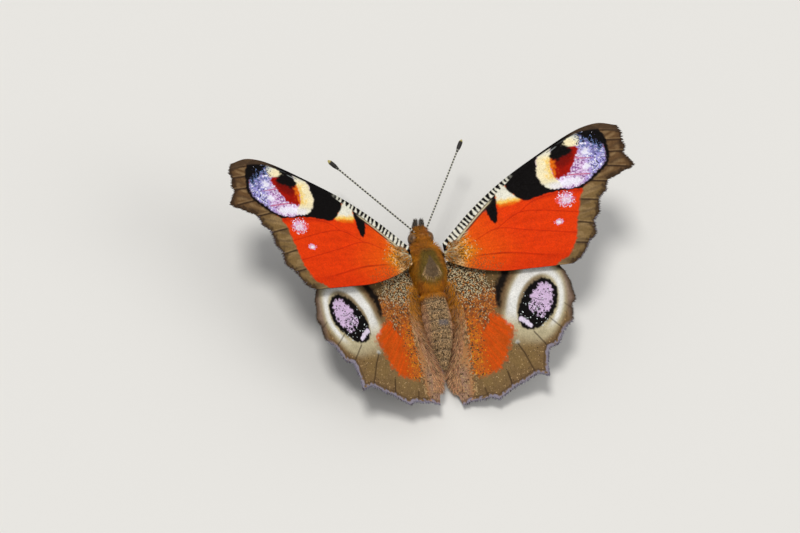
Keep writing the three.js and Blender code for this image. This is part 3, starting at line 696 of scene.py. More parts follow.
def wing_net(plan):
    """The wing's rows from the front edge to the rear one, each from root to margin: the places in the
    plan, the distance to the nearest vein, and the fractions across and along the wing."""
    paths = [vein_path(plan, vein) for vein in plan["veins"]]
    along = np.linspace(0, 1, len(paths[0]))
    fade = smooth(1 - 1.6 / plan["levels"], 1, along)
    rows, near, pleats = [], [], []
    for i, vein in enumerate(plan["veins"][:-1]):
        first, second = paths[i], paths[i + 1]
        width = np.linalg.norm(second - first, axis=1)
        count = max(2, math.ceil(width.max() / NET_SPACING))
        marks = np.array([0, *vein["notch"], 0], float)
        heading = unit(first[-1] - first[-1 - FINE])
        for j in range(count):
            part = j / count
            place = part * (len(marks) - 1)
            k = int(place)
            blend = 0.5 * (place - k) + 0.5 * smooth(0, 1, place - k)
            draw = marks[k] + (marks[min(k + 1, len(marks) - 1)] - marks[k]) * blend
            rows.append(first + (second - first) * part - np.outer(fade * draw, heading))
            near.append(min(part, 1 - part) * width)
            pleats.append(math.sin(math.pi * part) * np.minimum(width, 2) * (1 if i % 2 else -1))
    rows.append(paths[-1])
    near.append(np.zeros(len(along)))
    pleats.append(np.zeros(len(along)))
    rows = np.array(rows)
    span = np.linalg.norm(rows[-1] - rows[0], axis=1)
    across = np.linalg.norm(rows - rows[0], axis=2) / span
    return {"rows": rows, "near": np.array(near), "pleats": np.array(pleats), "across": across,
            "along": np.broadcast_to(along, across.shape), "paths": paths}


def middle_height(net, arch, fold):
    """Height of the sheet's middle over the wing's own plane."""
    swell = np.sin(np.pi * np.clip(net["along"], 0, 1)).clip(0)
    bow = arch * np.sin(np.pi * net["across"]) * swell ** 0.7
    drop = fold * ((net["across"] - 0.86) / 0.14).clip(0) ** 2 * swell ** 0.5
    return bow - drop + PLEAT * net["pleats"] * net["along"]


def wing_place(points, name):
    """Points in a wing's own frame placed in the row frame."""
    kind, hand = name.split("_")
    side = SIDES[hand]
    setting = WING_SET[name]
    matrix = (turn("Y", -side * setting["dihedral"]) @ turn("X", setting["incidence"])
              @ turn("Z", side * setting["sweep"]))
    mirrored = points * (side, 1, 1)
    return from_body(mirrored @ matrix.T + np.array(WINGS[kind]["hinge"]) * (side, 1, 1))


def sheet_faces(net):
    """Triangles of the fine upper face, the coarser under face and the rim between them."""
    count, levels = net["across"].shape
    index = np.arange(count * levels).reshape(count, levels)
    under = index + count * levels
    coarse_rows = sorted({*range(0, count, UNDER_STEP), count - 1})
    coarse_levels = sorted({*range(0, levels, UNDER_STEP), levels - 1})

    def grid(points):
        a, b, c, d = points[:-1, :-1], points[1:, :-1], points[1:, 1:], points[:-1, 1:]
        return np.concatenate([np.stack(three, -1).reshape(-1, 3) for three in ((a, b, c), (a, c, d))])

    def rim(upper, lower, stops):
        faces = []
        for start, stop in zip(stops[:-1], stops[1:]):
            faces += [(lower[start], upper[k], upper[k + 1]) for k in range(start, stop)]
            faces.append((lower[start], upper[stop], lower[stop]))
        return np.array(faces)

    top = grid(index)
    bottom = grid(under[np.ix_(coarse_rows, coarse_levels)])
    rims = [rim(index[0], under[0], coarse_levels), rim(index[-1], under[-1], coarse_levels),
            rim(index[:, 0], under[:, 0], coarse_rows), rim(index[:, -1], under[:, -1], coarse_rows)]
    return top, bottom, np.vstack(rims)


class Paint:
    """Colours laid on a wing: a ground, a dust of single scales over it, and the dust's share."""

    def __init__(self, u, v, tone):
        self.u, self.v = u, v
        self.places = np.stack([u, v], 1)
        self.ground = np.tile(TONE[tone], (len(u), 1))
        self.dust = self.ground.copy()
        self.amount = np.zeros(len(u))

    def fill(self, tone, share):
        """Lays a tone over all that is there."""
        share = np.clip(share, 0, 1)
        self.ground = mixed(self.ground, TONE[tone], share)
        self.amount = self.amount * np.clip(1 - 1.7 * share, 0, 1)

    def under(self, tone, share):
        """Changes the ground and leaves the dust on it."""
        self.ground = mixed(self.ground, TONE[tone], np.clip(share, 0, 1))

    def brush(self, where):
        """Takes the dust off."""
        self.amount = np.where(where, 0, self.amount)

    def sprinkle(self, tone, amount):
        """Strews single scales of a tone where there are fewer scales than that."""
        amount = np.clip(amount, 0, 1)
        taken = amount > self.amount
        self.dust[taken] = TONE[tone]
        self.amount = np.maximum(self.amount, amount)

    def speckle(self, first, second, amount, share=0.5):
        """Strews scales of two tones, the second one for about the given share of them."""
        picked = noise(self.places + 53.1, 0.19) < 0.28 + 0.44 * share
        self.sprinkle(first, np.where(picked, 0, amount))
        self.sprinkle(second, np.where(picked, amount, 0))

    def inside(self, outline, soft=0.1, ragged=0.12):
        """1 inside a smooth closed outline, 0 outside, with a slightly ragged edge."""
        knots = np.asarray(outline, float)
        loop = []
        for i in range(len(knots)):
            four = [knots[(i + k) % len(knots)] for k in (-1, 0, 1, 2)]
            loop += [spline(*four, t) for t in (0, 0.33, 0.67)]
        loop = np.array(loop)
        best = np.full(len(self.u), np.inf)
        odd = np.zeros(len(self.u), bool)
        for a, b in zip(loop, np.roll(loop, -1, axis=0)):
            best = np.minimum(best, self.foot(a, b)[1])
            crosses = (a[1] > self.v) != (b[1] > self.v)
            if abs(b[1] - a[1]) > 1e-9:
                odd ^= crosses & (self.u < a[0] + (self.v - a[1]) * (b[0] - a[0]) / (b[1] - a[1]))
        signed = np.where(odd, best, -best) + 2 * ragged * (noise(self.places, 0.28) - 0.5)
        return smooth(-soft, soft, signed)

    def foot(self, a, b):
        """The nearest point on a straight piece of line, as a share of its length, and its distance."""
        edge = b - a
        share = np.clip((self.places - a) @ edge / max(edge @ edge, 1e-9), 0, 1)
        return share, np.linalg.norm(self.places - a - share[:, None] * edge, axis=1)

    def oval(self, centre, radii, lean=0.0, soft=0.12, ragged=0.1):
        """1 inside an oval whose first radius leans by the given degrees from u."""
        shift = noise(self.places, 0.28) - 0.5
        return smooth(-soft, soft, (1 - self.reach(centre, radii, lean)) * min(radii) + 2 * ragged * shift)

    def reach(self, centre, radii, lean=0.0):
        """Distance from the centre as a share of the oval's radius that way."""
        angle = math.radians(lean)
        du, dv = self.u - centre[0], self.v - centre[1]
        first = (du * math.cos(angle) + dv * math.sin(angle)) / radii[0]
        second = (dv * math.cos(angle) - du * math.sin(angle)) / radii[1]
        return np.hypot(first, second)

    def line(self, points, width, soft=0.06):
        """1 along a broken line of the given width."""
        knots = np.array(points, float)
        best = np.min([self.foot(a, b)[1] for a, b in zip(knots[:-1], knots[1:])], axis=0)
        return 1 - smooth(width / 2 - soft, width / 2 + soft, best)

    def along(self, path):
        """How far along a path each place is, and its distance from the path."""
        run, best = np.zeros(len(self.u)), np.full(len(self.u), np.inf)
        start = 0.0
        for a, b in zip(path[:-1], path[1:]):
            share, away = self.foot(a, b)
            length = np.linalg.norm(b - a)
            nearer = away < best
            run[nearer] = start + share[nearer] * length
            best[nearer] = away[nearer]
            start += length
        return run, best

    def grain(self, size):
        return noise(self.places + 31.7, size)

    def rays(self, fine, long):
        """Random values in streaks that run out from behind the hinge."""
        angle, reach = np.arctan2(self.v, self.u + 2), np.hypot(self.u + 2, self.v)
        return noise(np.stack([angle * fine, reach / long], 1) + 7.3, 1.0)


def paint_forewing(u, v, near, net):
    """The forewing's upper side."""
    paint = Paint(u, v, "red")
    run, depth = paint.along(net["paths"][0][::2])
    margin = paint.along(net["rows"][::3, -1])[1]
    veins = np.exp(-((near / 0.075) ** 2))
    fine = paint.grain(0.3) - 0.5

    # Red field: orange towards the base, darker along the veins and to the rear
    paint.fill("flame", 0.36 * smooth(13.0, 4.5, u + 0.6 * np.abs(v + 0.8)))
    paint.fill("deep_red", 0.2 * smooth(0.45, 0.85, paint.rays(48, 3.5)) + 0.34 * smooth(-1.8, -4.4, v))
    paint.fill("deep_red", 0.6 * smooth(6.0, 5.3, v) * smooth(4.7, 5.3, v) * smooth(12.5, 13.5, u))
    paint.fill("deep_red", 0.75 * veins * smooth(2.5, 4.0, u) * smooth(-3.8, -2.5, v))
    fold = [(3.4, -1.15), (6.0, -1.35), (9.0, -1.75), (15.0, -3.2)]
    paint.fill("maroon", 0.55 * paint.line(fold, 0.09) * smooth(15, 8, u))

    # Golden base, speckled cream and brown
    base = smooth(5.6, 2.2, u + 0.55 * np.abs(v + 0.4) - 0.8 * paint.rays(22, 1.5))
    paint.fill("gold", 0.9 * base)
    paint.fill("tan", 0.8 * smooth(2.8, 1.2, u - 0.3 * np.abs(v)))
    near_base = smooth(5.8, 1.8, u + 0.4 * np.abs(v + 0.4))
    paint.speckle("fur_dark", "wheat", 0.55 * near_base, 0.4)
    paint.sprinkle("rust", 0.5 * smooth(9.0, 3.0, u) * smooth(-0.4, -3.0, v))
    paint.fill("dark_brown", 0.8 * paint.line([(0.1, -0.55), (1.8, -0.85)], 0.35, 0.15))

    # Brown border, darkest at the margin, with dark streaks in the folds
    border = paint.inside(FORE_SHAPES["border"], 0.16, 0.12)
    paint.fill("brown", border)
    paint.fill("khaki", 0.85 * border * smooth(8.0, 4.5, v))
    paint.fill("tan", 0.35 * border * smooth(0.4, 0.75, paint.rays(75, 1.2)) * smooth(0.4, 1.2, margin))
    paint.fill("bark", 0.5 * border * smooth(0.5, 0.8, paint.rays(60, 2.0)))
    paint.fill("dark_brown", 0.8 * border * smooth(0.65, 0.1, margin + 0.5 * fine))
    for path in FORE_SHAPES["folds"]:
        paint.fill("dark_brown", 0.97 * paint.line(path, 0.22, 0.1) * border)
        paint.fill("tan", 0.4 * paint.line(np.array(path) + (0, 0.22), 0.1, 0.08) * border)

    # Cream patch, black bar and large black patch
    cream = paint.inside(FORE_SHAPES["cream patch"], 0.25, 0.2)
    paint.fill("flame", cream * smooth(4.7, 5.3, v))
    paint.fill("yellow", cream * smooth(5.15, 5.7, v + 0.4 * fine))
    paint.fill("ivory", cream * smooth(5.6, 6.3, v + 0.4 * fine))
    paint.fill("slate", 0.7 * paint.oval((6.75, 5.1), (0.5, 0.45), 0, 0.3))
    paint.fill("black", paint.inside(FORE_SHAPES["bar"]))
    paint.fill("black", paint.inside(FORE_SHAPES["black patch"], 0.09, 0.1))

    # Front edge: wedge-shaped bars of black and white over a cream line and a dark one
    band = np.interp(run, [0, 5, 9, 12, 14, 15], [1.15, 1.1, 0.9, 0.75, 0.4, 0.2])
    early = smooth(9.6, 8.6, run)
    paint.fill("dark_brown", 0.85 * early * smooth(band + 0.62, band + 0.42, depth))
    paint.fill("sand", early * smooth(0.15, 0.06, np.abs(depth - band - 0.2)))
    pale_marks = smooth(0.55, 0.65, paint.rays(60, 0.8)) * smooth(4.5, 3.0, run)
    paint.fill("sand", 0.8 * pale_marks * smooth(band + 0.9, band + 0.6, depth))
    phase = run / 0.67 + 0.5 * (noise(paint.places, 1.1) - 0.5)
    wave = np.abs(2 * (phase % 1) - 1)
    barred = smooth(band + 0.06, band - 0.06, depth) * smooth(14.4, 13.6, run)
    paint.fill("ivory", barred * smooth(14.2, 12.6, run))
    rough = 0.5 * (paint.grain(0.45) - 0.5)
    paint.fill("black", barred * smooth(-0.14, 0.14, wave - 0.34 - 0.24 * depth / band + rough))

    # Eyespot: lilac scales, blue ones to the outer side, thinning out to black at the upper rim
    field = paint.inside(FORE_SHAPES["eyespot"], 0.12, 0.14)
    blue = smooth(21.2, 23.4, u + 0.5 * (v - 9) * smooth(9, 10, v) - 0.5 * (v - 8) * smooth(8, 7, v))
    paint.fill("lilac", field)
    paint.fill("periwinkle", 0.92 * field * blue)
    paint.speckle("white", "plum", 0.6 * field * (1 - blue), 0.5)
    paint.speckle("navy", "white", 0.42 * field * blue, 0.5)
    slant = (v - 13.3) + 0.62 * (u - 21) + 2.2 * fine
    upper = smooth(-1.3, 0.2, slant) * smooth(20.6, 21.6, u)
    paint.under("black", upper * (field > 0.01))
    paint.brush(field * upper > 0.3)
    paint.sprinkle("steel_blue", 0.6 * field * upper * smooth(1.0, -0.5, slant))
    lobe = paint.inside(FORE_SHAPES["white lobe"], 0.25, 0.2)
    paint.fill("white", 0.92 * lobe)
    for spot, size in (((22.2, 10.65), 0.55), ((22.1, 8.5), 0.5)):
        paint.fill("white", 0.95 * paint.oval(spot, (size, 0.75 * size), 0, 0.25, 0.2))
    paint.fill("navy", 0.75 * paint.oval((23.75, 10.4), (0.4, 0.28), 0, 0.15, 0.25))
    for path in FORE_SHAPES["eyespot lines"]:
        paint.fill("crimson", 0.8 * paint.line(path, 0.15) * smooth(24, 22, u))

    # Its dark red middle, the pale ring, the black pupil and the pale marks by the front edge
    middle = paint.inside(FORE_SHAPES["red"], 0.14, 0.2)
    paint.fill("black", paint.inside(FORE_SHAPES["rim"], 0.15, 0.2))
    paint.fill("blood", middle)
    paint.fill("maroon", 0.85 * paint.inside(FORE_SHAPES["maroon"], 0.4, 0.25))
    paint.fill("flame", 0.9 * middle * smooth(17.9, 17.1, u + fine))
    ring = paint.inside(FORE_SHAPES["ring"], 0.12, 0.14)
    paint.fill("cream", ring)
    paint.fill("yellow", 0.85 * ring * smooth(16.0, 16.9, u + fine) * smooth(11.0, 10.3, v)
               * smooth(7.3, 7.9, v))
    paint.fill("ivory", 0.8 * ring * np.maximum(smooth(10.8, 11.4, v), smooth(7.4, 6.7, v)))
    paint.fill("white", 0.6 * ring * smooth(7.3, 6.6, v) * smooth(16.0, 17.0, u))
    paint.fill("black", paint.inside(FORE_SHAPES["pupil"], 0.2, 0.2))
    mark = paint.inside(FORE_SHAPES["front mark"], 0.15, 0.22)
    paint.fill("cream", mark)
    paint.fill("mist", 0.75 * mark * smooth(-0.4, 0.8, 0.6 * (u - 20.8) + (v - 12.6)))
    paint.sprinkle("navy", 0.3 * mark * smooth(20.8, 21.6, u))
    pale = paint.line([(16.4, 11.8), (18.0, 12.5), (19.9, 13.15)], 0.4, 0.12)
    paint.fill("mist", 0.9 * pale * smooth(0.3, 0.5, paint.rays(75, 0.7)))
    paint.fill("mist", 0.6 * paint.line([(17.4, 11.6), (18.3, 12.1)], 0.12))
    paint.fill("black", 0.85 * paint.line([(16.9, 11.5), (18.4, 12.2)], 0.12))

    # Dark front edge over the eyespot, widening and browner to the tip
    edge = np.interp(run, [14, 20, 25, 28, 31], [0.25, 0.3, 0.5, 0.9, 1.0])
    paint.fill("black", smooth(edge + 0.1, edge - 0.1, depth) * smooth(14.5, 15.5, run)
               * smooth(26.5, 24, run))
    paint.fill("bark", 0.85 * smooth(edge + 0.05, edge - 0.2, depth) * smooth(22.5, 25.5, run))

    # Pale spots on the red
    away = paint.reach(LARGE_SPOT, (1.4, 1.15))
    paint.fill("lilac", 0.55 * smooth(0.9, 0.2, away + 0.8 * fine))
    paint.speckle("lilac", "white", 0.8 * smooth(1.25, 0.3, away), 0.4)
    paint.fill("white", 0.7 * paint.oval((18.35, 4.35), (0.5, 0.35), 0, 0.3, 0.35))
    paint.sprinkle("lilac", smooth(1.25, 0.7, paint.reach(SMALL_SPOT, (0.62, 0.42))))
    paint.fill("white", 0.95 * paint.oval(SMALL_SPOT, (0.36, 0.24), 0, 0.15))
    return paint


def paint_hindwing(u, v, _, net):
    """The hindwing's upper side."""
    paint = Paint(u, v, "hind_brown")
    outside = (paint.reach(**HIND_EYE) - 1) * 3.0
    eye_u, eye_v = HIND_EYE["centre"]
    leftward = smooth(-0.6, 0.9, 0.43 * (v - eye_v) - 0.9 * (u - eye_u))
    margin = paint.along(net["rows"][::3, -1])[1]
    fine = paint.grain(0.3) - 0.5

    # Brown field, darker at the margin
    paint.fill("khaki", 0.8 * smooth(0.35, 0.7, paint.rays(26, 3.0)))
    paint.fill("umber", 0.45 * smooth(2.4, 0.5, margin + fine))
    paint.speckle("tan", "bark", 0.06 + 0.06 * smooth(1.6, 0.8, margin), 0.5)

    # Pale halo of the eyespot, and beside it the streaked orange patch, ochre on its inner side
    outer = 1.25 + 0.95 * leftward
    rise = v + 0.3 * (u - 12)
    paint.fill("sand", 0.85 * smooth(outer + 1.2, outer, outside) * smooth(-13.2, -9.8, rise))
    orange = paint.inside(HIND_SHAPES["orange"], 0.4, 0.35)
    paint.fill("hind_orange", orange)
    paint.fill("hot_orange", 0.8 * orange * smooth(0.35, 0.8, paint.rays(55, 3.0)) * smooth(3.6, 5.0, u))
    paint.fill("hind_brown", 0.6 * orange * smooth(7.6, 9.0, u + fine) * smooth(-9.0, -9.8, v))
    inner_side = smooth(4.8, 3.0, u + 0.9 * (paint.rays(30, 1.5) - 0.5))
    paint.fill("ochre", 0.5 * orange * inner_side)
    paint.speckle("bark", "gold", 0.4 * orange * smooth(5.2, 2.2, u), 0.4)

    # Granular base, pale grey in front and redder to the rear
    low = np.interp(u, [0, 2.2, 3.4, 4.2, 5.0, 5.7, 6.8], [-5.5, -6.0, -6.2, -7.6, -7.8, -6.1, -5.6])
    far = np.interp(v, [-6, -3, -1, 0.5], [6.9, 7.15, 7.9, 8.4])
    base = smooth(low - 0.9, low + 0.7, v + 2 * fine) * smooth(far + 0.4, far - 0.3, u)
    rear = smooth(-2.0, -5.6, v + 2.0 * (paint.grain(1.2) - 0.5))
    redder = paint.grain(0.19) < 0.25 + 0.5 * rear
    paint.fill("dark_brown", 0.85 * base)
    paint.fill("rust", 0.7 * base * rear)
    paint.speckle("tan", "sand", 0.46 * base * ~redder, 0.55)
    paint.speckle("ochre", "bark", 0.6 * base * redder, 0.35)
    paint.fill("khaki", 0.55 * smooth(5.4, 6.6, u) * smooth(far + 0.3, far - 0.1, u)
               * smooth(-3.4, -1.8, v))

    # Pale ring round the eyespot, and the dark crescent on its inner side
    white = smooth(0.25, 0.75, outside) * smooth(outer + 0.45, outer - 0.35, outside)
    paint.fill("pearl", 0.97 * white * smooth(-10.0, -7.2, rise))
    paint.fill("umber", 0.7 * smooth(0.75, 0.1, outside) * leftward * smooth(-8.5, -6.5, v))
    inner_line = np.interp(v, [-7, -5, -3, -1.5, 0], [7.3, 7.6, 8.1, 9.3, 10.0])
    paint.fill("umber", 0.8 * smooth(inner_line + 1.5, inner_line, u) * smooth(far - 0.3, far + 0.3, u)
               * smooth(-7.4, -5.4, v))
    paint.fill("dusk", 0.6 * smooth(16.3, 17.3, u) * smooth(-9.5, -8, v))
    paint.fill("bark", 0.7 * smooth(0.55, 0.1, margin) * smooth(-10, -9, v))
    paint.fill("black", 0.97 * paint.inside(HIND_SHAPES["crescent"], 0.38, 0.2))
    paint.fill("black", 0.85 * paint.oval((16.75, -1.25), (0.95, 0.42), -20, 0.25))

    # Eyespot: black, with a lilac blotch and a bar
    paint.fill("black", paint.inside(HIND_SHAPES["eyespot"], 0.14, 0.14))
    blotch = paint.inside(HIND_SHAPES["blotch"], 0.1, 0.35)
    bar = paint.inside(HIND_SHAPES["bar"], 0.1, 0.15)
    paint.fill("blush", np.maximum(blotch, bar))
    lower = smooth(0.5, -1.0, 0.6 * (u - 13.0) + 0.5 * (v + 5.6))
    flecks = blotch * (0.18 + 0.4 * lower) * smooth(0.3, 0.6, paint.grain(0.35))
    paint.speckle("black", "white", flecks, -0.2)
    paint.fill("white", 0.5 * bar)
    for spot, size in (((12.7, -6.9), 0.34), ((12.6, -6.15), 0.2), ((14.4, -6.2), 0.14)):
        paint.fill("black", 0.9 * paint.oval(spot, (size, 0.8 * size), 0, 0.1, 0.2))
    paint.fill("black", 0.8 * paint.line([(12.3, -5.25), (12.9, -5.6), (13.5, -5.75)], 0.13))
    paint.sprinkle("mist", 0.04 * smooth(0.1, -0.1, outside) * smooth(0.6, 0.8, lower))

    # Dark lines in the folds, the inner part where the hair grows, and the pale margin
    for fold in HIND_FOLDS:
        paint.fill("dark_brown", 0.85 * paint.line(fold["path"], fold["width"], 0.1))
    paint.fill("mist", 0.4 * paint.oval((8.85, -11.0), (0.28, 0.2), 0, 0.15, 0.2))
    inner = smooth(2.1, 1.6, u + fine) * smooth(-3.5, -5.5, v)
    paint.fill("hair", 0.8 * inner)
    paint.fill("dusk", 0.6 * smooth(2.0, 0.6, u) * smooth(-12.0, -14.5, v))
    paint.speckle("umber", "tan", 0.5 * smooth(1.4, 1.9, u) * smooth(2.7, 2.2, u) * smooth(-4, -6, v), 0.4)
    paint.speckle("bark", "tan", 0.3 * smooth(1.8, 1.0, u) * smooth(-11, -13, v), 0.5)
    rim = smooth(-8.5, -11.0, v)
    paint.fill("bark", 0.6 * rim * smooth(0.3, 0.42, margin) * smooth(0.75, 0.5, margin))
    paint.fill("fringe", 0.85 * rim * smooth(0.34, 0.2, margin + 0.5 * fine))
    return paint


def paint_underside(u, v, near):
    """The dark underside: fine wavy lines over brown-black, paler towards the margin."""
    paint = Paint(u, v, "under")
    distance = np.hypot(u, v) + 1.6 * noise(paint.places, 1.7) + 0.5 * noise(paint.places, 0.5)
    lines = np.sin(2 * np.pi * distance / 0.62)
    paint.fill("under_dark", 0.85 * smooth(0.1, 0.7, lines))
    middle = smooth(9, 12, distance) * smooth(18, 15, distance)
    paint.fill("under_dark", 0.6 * middle)
    paint.fill("under_pale", 0.35 * smooth(18, 23, distance) * smooth(0.2, -0.5, lines))
    paint.sprinkle("under_pale", np.full(len(u), 0.12))
    paint.fill("under_pale", 0.4 * np.exp(-((near / 0.1) ** 2)))
    return paint


def bake_places(plan_points, upper):
    """Places on the bake map: the upper side takes the larger part of the tile, the underside the rest."""
    shown = plan_points - plan_points.min(0)
    if np.ptp(shown[:, 1]) > np.ptp(shown[:, 0]):
        shown = shown[:, ::-1]
    width, height = np.ptp(shown, axis=0)
    start, room = ((0.01, 0.01), 0.62) if upper else ((0.01, 0.65), 0.33)
    return start + shown * min(0.98 / width, room / height)


def welded(points, faces):
    """Joins points that lie together and leaves out the faces that this closes. Gives the index of
    each kept point, the faces between them, and which of the given faces are kept."""
    keys = np.round(points * WELD_STEPS).astype(np.int64)
    _, first, inverse = np.unique(keys, axis=0, return_index=True, return_inverse=True)
    faces = inverse.ravel()[faces]
    whole = (faces[:, 0] != faces[:, 1]) & (faces[:, 1] != faces[:, 2]) & (faces[:, 2] != faces[:, 0])
    used, renumbered = np.unique(faces[whole], return_inverse=True)
    return first[used], renumbered.reshape(-1, 3), whole


def make_wing(name, painter, material):
    """One wing as a thin closed sheet with raised veins, painted on both sides."""
    kind = name.split("_")[0]
    wing = WINGS[kind]
    net = wing_net(wing["plan"])
    middle = middle_height(net, wing["arch"], wing["fold"])
    half = HALF_SHEET + (HALF_MARGIN - HALF_SHEET) * smooth(0.9, 1, net["along"])
    half = half + VEIN_LIFT * np.exp(-((net["near"] / VEIN_WIDTH) ** 2)) * (1 - 0.6 * net["along"])
    faces_of = [np.dstack([net["rows"], middle + step]).reshape(-1, 3) for step in (half, -half)]
    points = np.concatenate(faces_of)

    top, bottom, rims = sheet_faces(net)
    kept, faces, whole = welded(points, np.vstack([top, bottom, rims]))
    below_face = np.repeat([False, True, False], [len(top), len(bottom), len(rims)])[whole]
    near = np.tile(net["near"].ravel(), 2)[kept]
    upper = kept < len(points) // 2
    points = points[kept]
    piece = mesh_object(name + "_wing", wing_place(points, name), faces)

    u, v = points[:, 0], points[:, 1]
    above, below = painter(u, v, near, net), paint_underside(u, v, near)
    set_colour(piece, "ground", np.where(upper[:, None], above.ground, below.ground))
    set_colour(piece, "dust", np.where(upper[:, None], above.dust, below.dust))
    set_value(piece, "amount", np.where(upper, above.amount, below.amount))
    set_vector(piece, "plan", np.stack([u, v + UNDER_SHIFT * ~upper, 0 * u], 1))
    maps = [bake_places(points[:, :2], upward)[faces.ravel()] for upward in (True, False)]
    set_bake_map(piece, np.where(np.repeat(below_face, 3)[:, None], maps[1], maps[0]))
    face_outward(piece)
    dress(piece, material, kind, name)
    return net, middle


def wing_tufts(name, ending, material, roots, heads, **hairs):
    """Tufts on a wing, from their roots and the ways they lie in the wing's own frame."""
    placed, ends, ups = (wing_place(roots + step, name) for step in (0, heads, (0, 0, 1)))
    plan = roots[:, :2]
    patches = 0.02 + 0.9 * (plan - plan.min(0)) / np.ptp(plan, axis=0).max()
    piece = tufts(name + ending, placed, unit(ups - placed), unit(ends - placed), patches=patches, **hairs)
    dress(piece, material, name.split("_")[0])


def make_fringe(name, net, middle, material, rng):
    """Short flat scales that stand out past the wing's outer margin."""
    edge = np.column_stack([net["rows"][:, -1], middle[:, -1]])
    inner = np.column_stack([net["rows"][:, -4], middle[:, -4]])
    steps = run_of(edge)
    count = int(steps[-1] / FRINGE_SPACING)
    wanted = np.sort(rng.random(count)) * steps[-1]
    roots = np.stack([np.interp(wanted, steps, edge[:, k]) for k in range(3)], 1)
    heads = roots - np.stack([np.interp(wanted, steps, inner[:, k]) for k in range(3)], 1)
    heads = unit(heads + rng.normal(0, 0.08, heads.shape) * (1, 1, 0.3))
    roots = roots + heads * rng.uniform(-0.25, 0.0, (count, 1))
    roots[:, 2] += rng.uniform(-0.04, 0.04, count)
    reach, share = FRINGE_PALE[name.split("_")[0]]
    pale = (roots[:, 1:2] < reach) & (rng.random((count, 1)) < share)
    tone = np.where(pale, TONE["fringe"], TONE["bark"]) * rng.uniform(0.8, 1.2, (count, 1))
    wing_tufts(name, "_fringe", material, roots, heads, length=rng.uniform(0.3, 0.5, count), width=0.1,
               rise=0.0, root_tone=tone, tip_tone=0.85 * tone, sink=0.0)


def height_at(net, middle, places):
    """Height of a wing's middle at places in its plan, from the nearest net point."""
    flat = net["rows"].reshape(-1, 2)[::3]
    high = middle.ravel()[::3]
    found = [int(((flat - place) ** 2).sum(1).argmin()) for place in places]
    return high[found]


def make_wing_hair(name, net, middle, material, rng, count, spread):
    """Long soft hair over a wing's base or along its inner fold. spread gives the roots, the ways they
    lie, their lengths, how far they rise and their tones."""
    places, ways, length, rise, tone = spread(rng, count)
    roots = np.column_stack([places, height_at(net, middle, places) + HALF_SHEET])
    heads = unit(np.column_stack([ways, np.zeros(len(ways))]))
    wing_tufts(name, "_hair", material, roots, heads, length=length * rng.uniform(0.65, 1.2, count),
               width=rng.uniform(0.05, 0.085, count), rise=rise * rng.uniform(0.5, 1.5, count),
               root_tone=0.55 * tone, tip_tone=1.3 * tone, sink=0.06)


def picked_tones(rng, count, names, weights):
    """One of the named tones for each hair, by weight, each a little lighter or darker."""
    choice = rng.choice(len(names), count, p=np.array(weights) / np.sum(weights))
    return np.array([TONE[name] for name in names])[choice] * rng.uniform(0.8, 1.2, (count, 1))


def base_spread(rng, count):
    """Forewing base: roots near the hinge, leaning outward like a fan."""
    out = rng.random(count) ** 1.5 * 2.6
    turned = np.radians(rng.uniform(-75, 60, count))
    places = np.stack([0.1 + out * np.cos(turned), 0.1 + np.clip(out, 0, 2.0) * np.sin(turned)], 1)
    places[:, 1] = np.clip(places[:, 1], -0.9 - 0.5 * places[:, 0], 0.6 + 0.3 * places[:, 0])
    ways = np.stack([np.cos(0.8 * turned), np.sin(0.8 * turned)], 1) + rng.normal(0, 0.15, (count, 2))
    tone = picked_tones(rng, count, ("gold", "sand", "bark", "ochre"), (3, 2, 1, 2))
    return places, ways, np.interp(out, [0, 2.6], [1.2, 0.7]), 0.15, tone


def inner_edge(v):
    """The hindwing's inner edge in its plan."""
    path = HIND_PLAN["veins"][-1]["path"]
    return np.interp(-v, [-knot[2] for knot in path], [knot[1] for knot in path])


def fold_spread(rng, count):
    """Hindwing's inner part: hair combed to the rear and inward, over the side of the abdomen."""
    down = rng.random(count) ** 0.85
    v = -0.6 - 15.8 * down
    reach = rng.random(count) ** 1.8 * np.interp(down, [0, 0.25, 1], [1.4, 1.8, 1.3])
    places = np.stack([inner_edge(v) + 0.03 + reach, v], 1)
    near = np.exp(-((reach / 0.8) ** 2))
    inward = near * np.interp(down, [0, 0.3, 0.8, 1], [0.9, 1.1, 1.0, 0.3])
    ways = np.stack([-inward, -np.ones(count)], 1) + rng.normal(0, 0.2, (count, 2))
    length = 0.8 + 0.75 * near * np.interp(down, [0, 0.2, 0.8, 1], [1, 1, 1, 0.3])
    rise = 0.06 + 0.2 * near * np.interp(down, [0, 0.2, 0.8, 1], [0.6, 1, 0.8, 0.2])
    front = picked_tones(rng, count, ("fur", "hair", "bark", "gold"), (4, 2, 1.5, 3))
    rear = picked_tones(rng, count, ("pink_tan", "hair", "bark", "wheat"), (5, 2, 2, 3))
    tone = 1.15 * mixed(front, rear, smooth(-3.5, -8.5, v + rng.normal(0, 1.0, count)))
    return places, ways, length, rise, tone


# Body


def skin_section(y):
    """Half width, half height and axis height of the skin at places along the body."""
    table = np.array(SKIN)[::-1]
    knots = table[:, 0]
    wide, high, axis = (np.interp(y, knots, table[:, k]) for k in (1, 2, 3))
    return wide, high, axis


def segment_dip(y):
    """How deep the skin sinks at the abdomen's segment lines."""
    length = (ABDOMEN_FRONT - ABDOMEN_REAR) / ABDOMEN_SEGMENTS
    place = (ABDOMEN_FRONT - y) / length
    inside = (place > 0.3) & (place < ABDOMEN_SEGMENTS - 0.3)
    near = np.abs(place - np.round(place)) * length
    return np.where(inside, SEGMENT_GROOVE * np.exp(-((near / 0.14) ** 2)), 0)


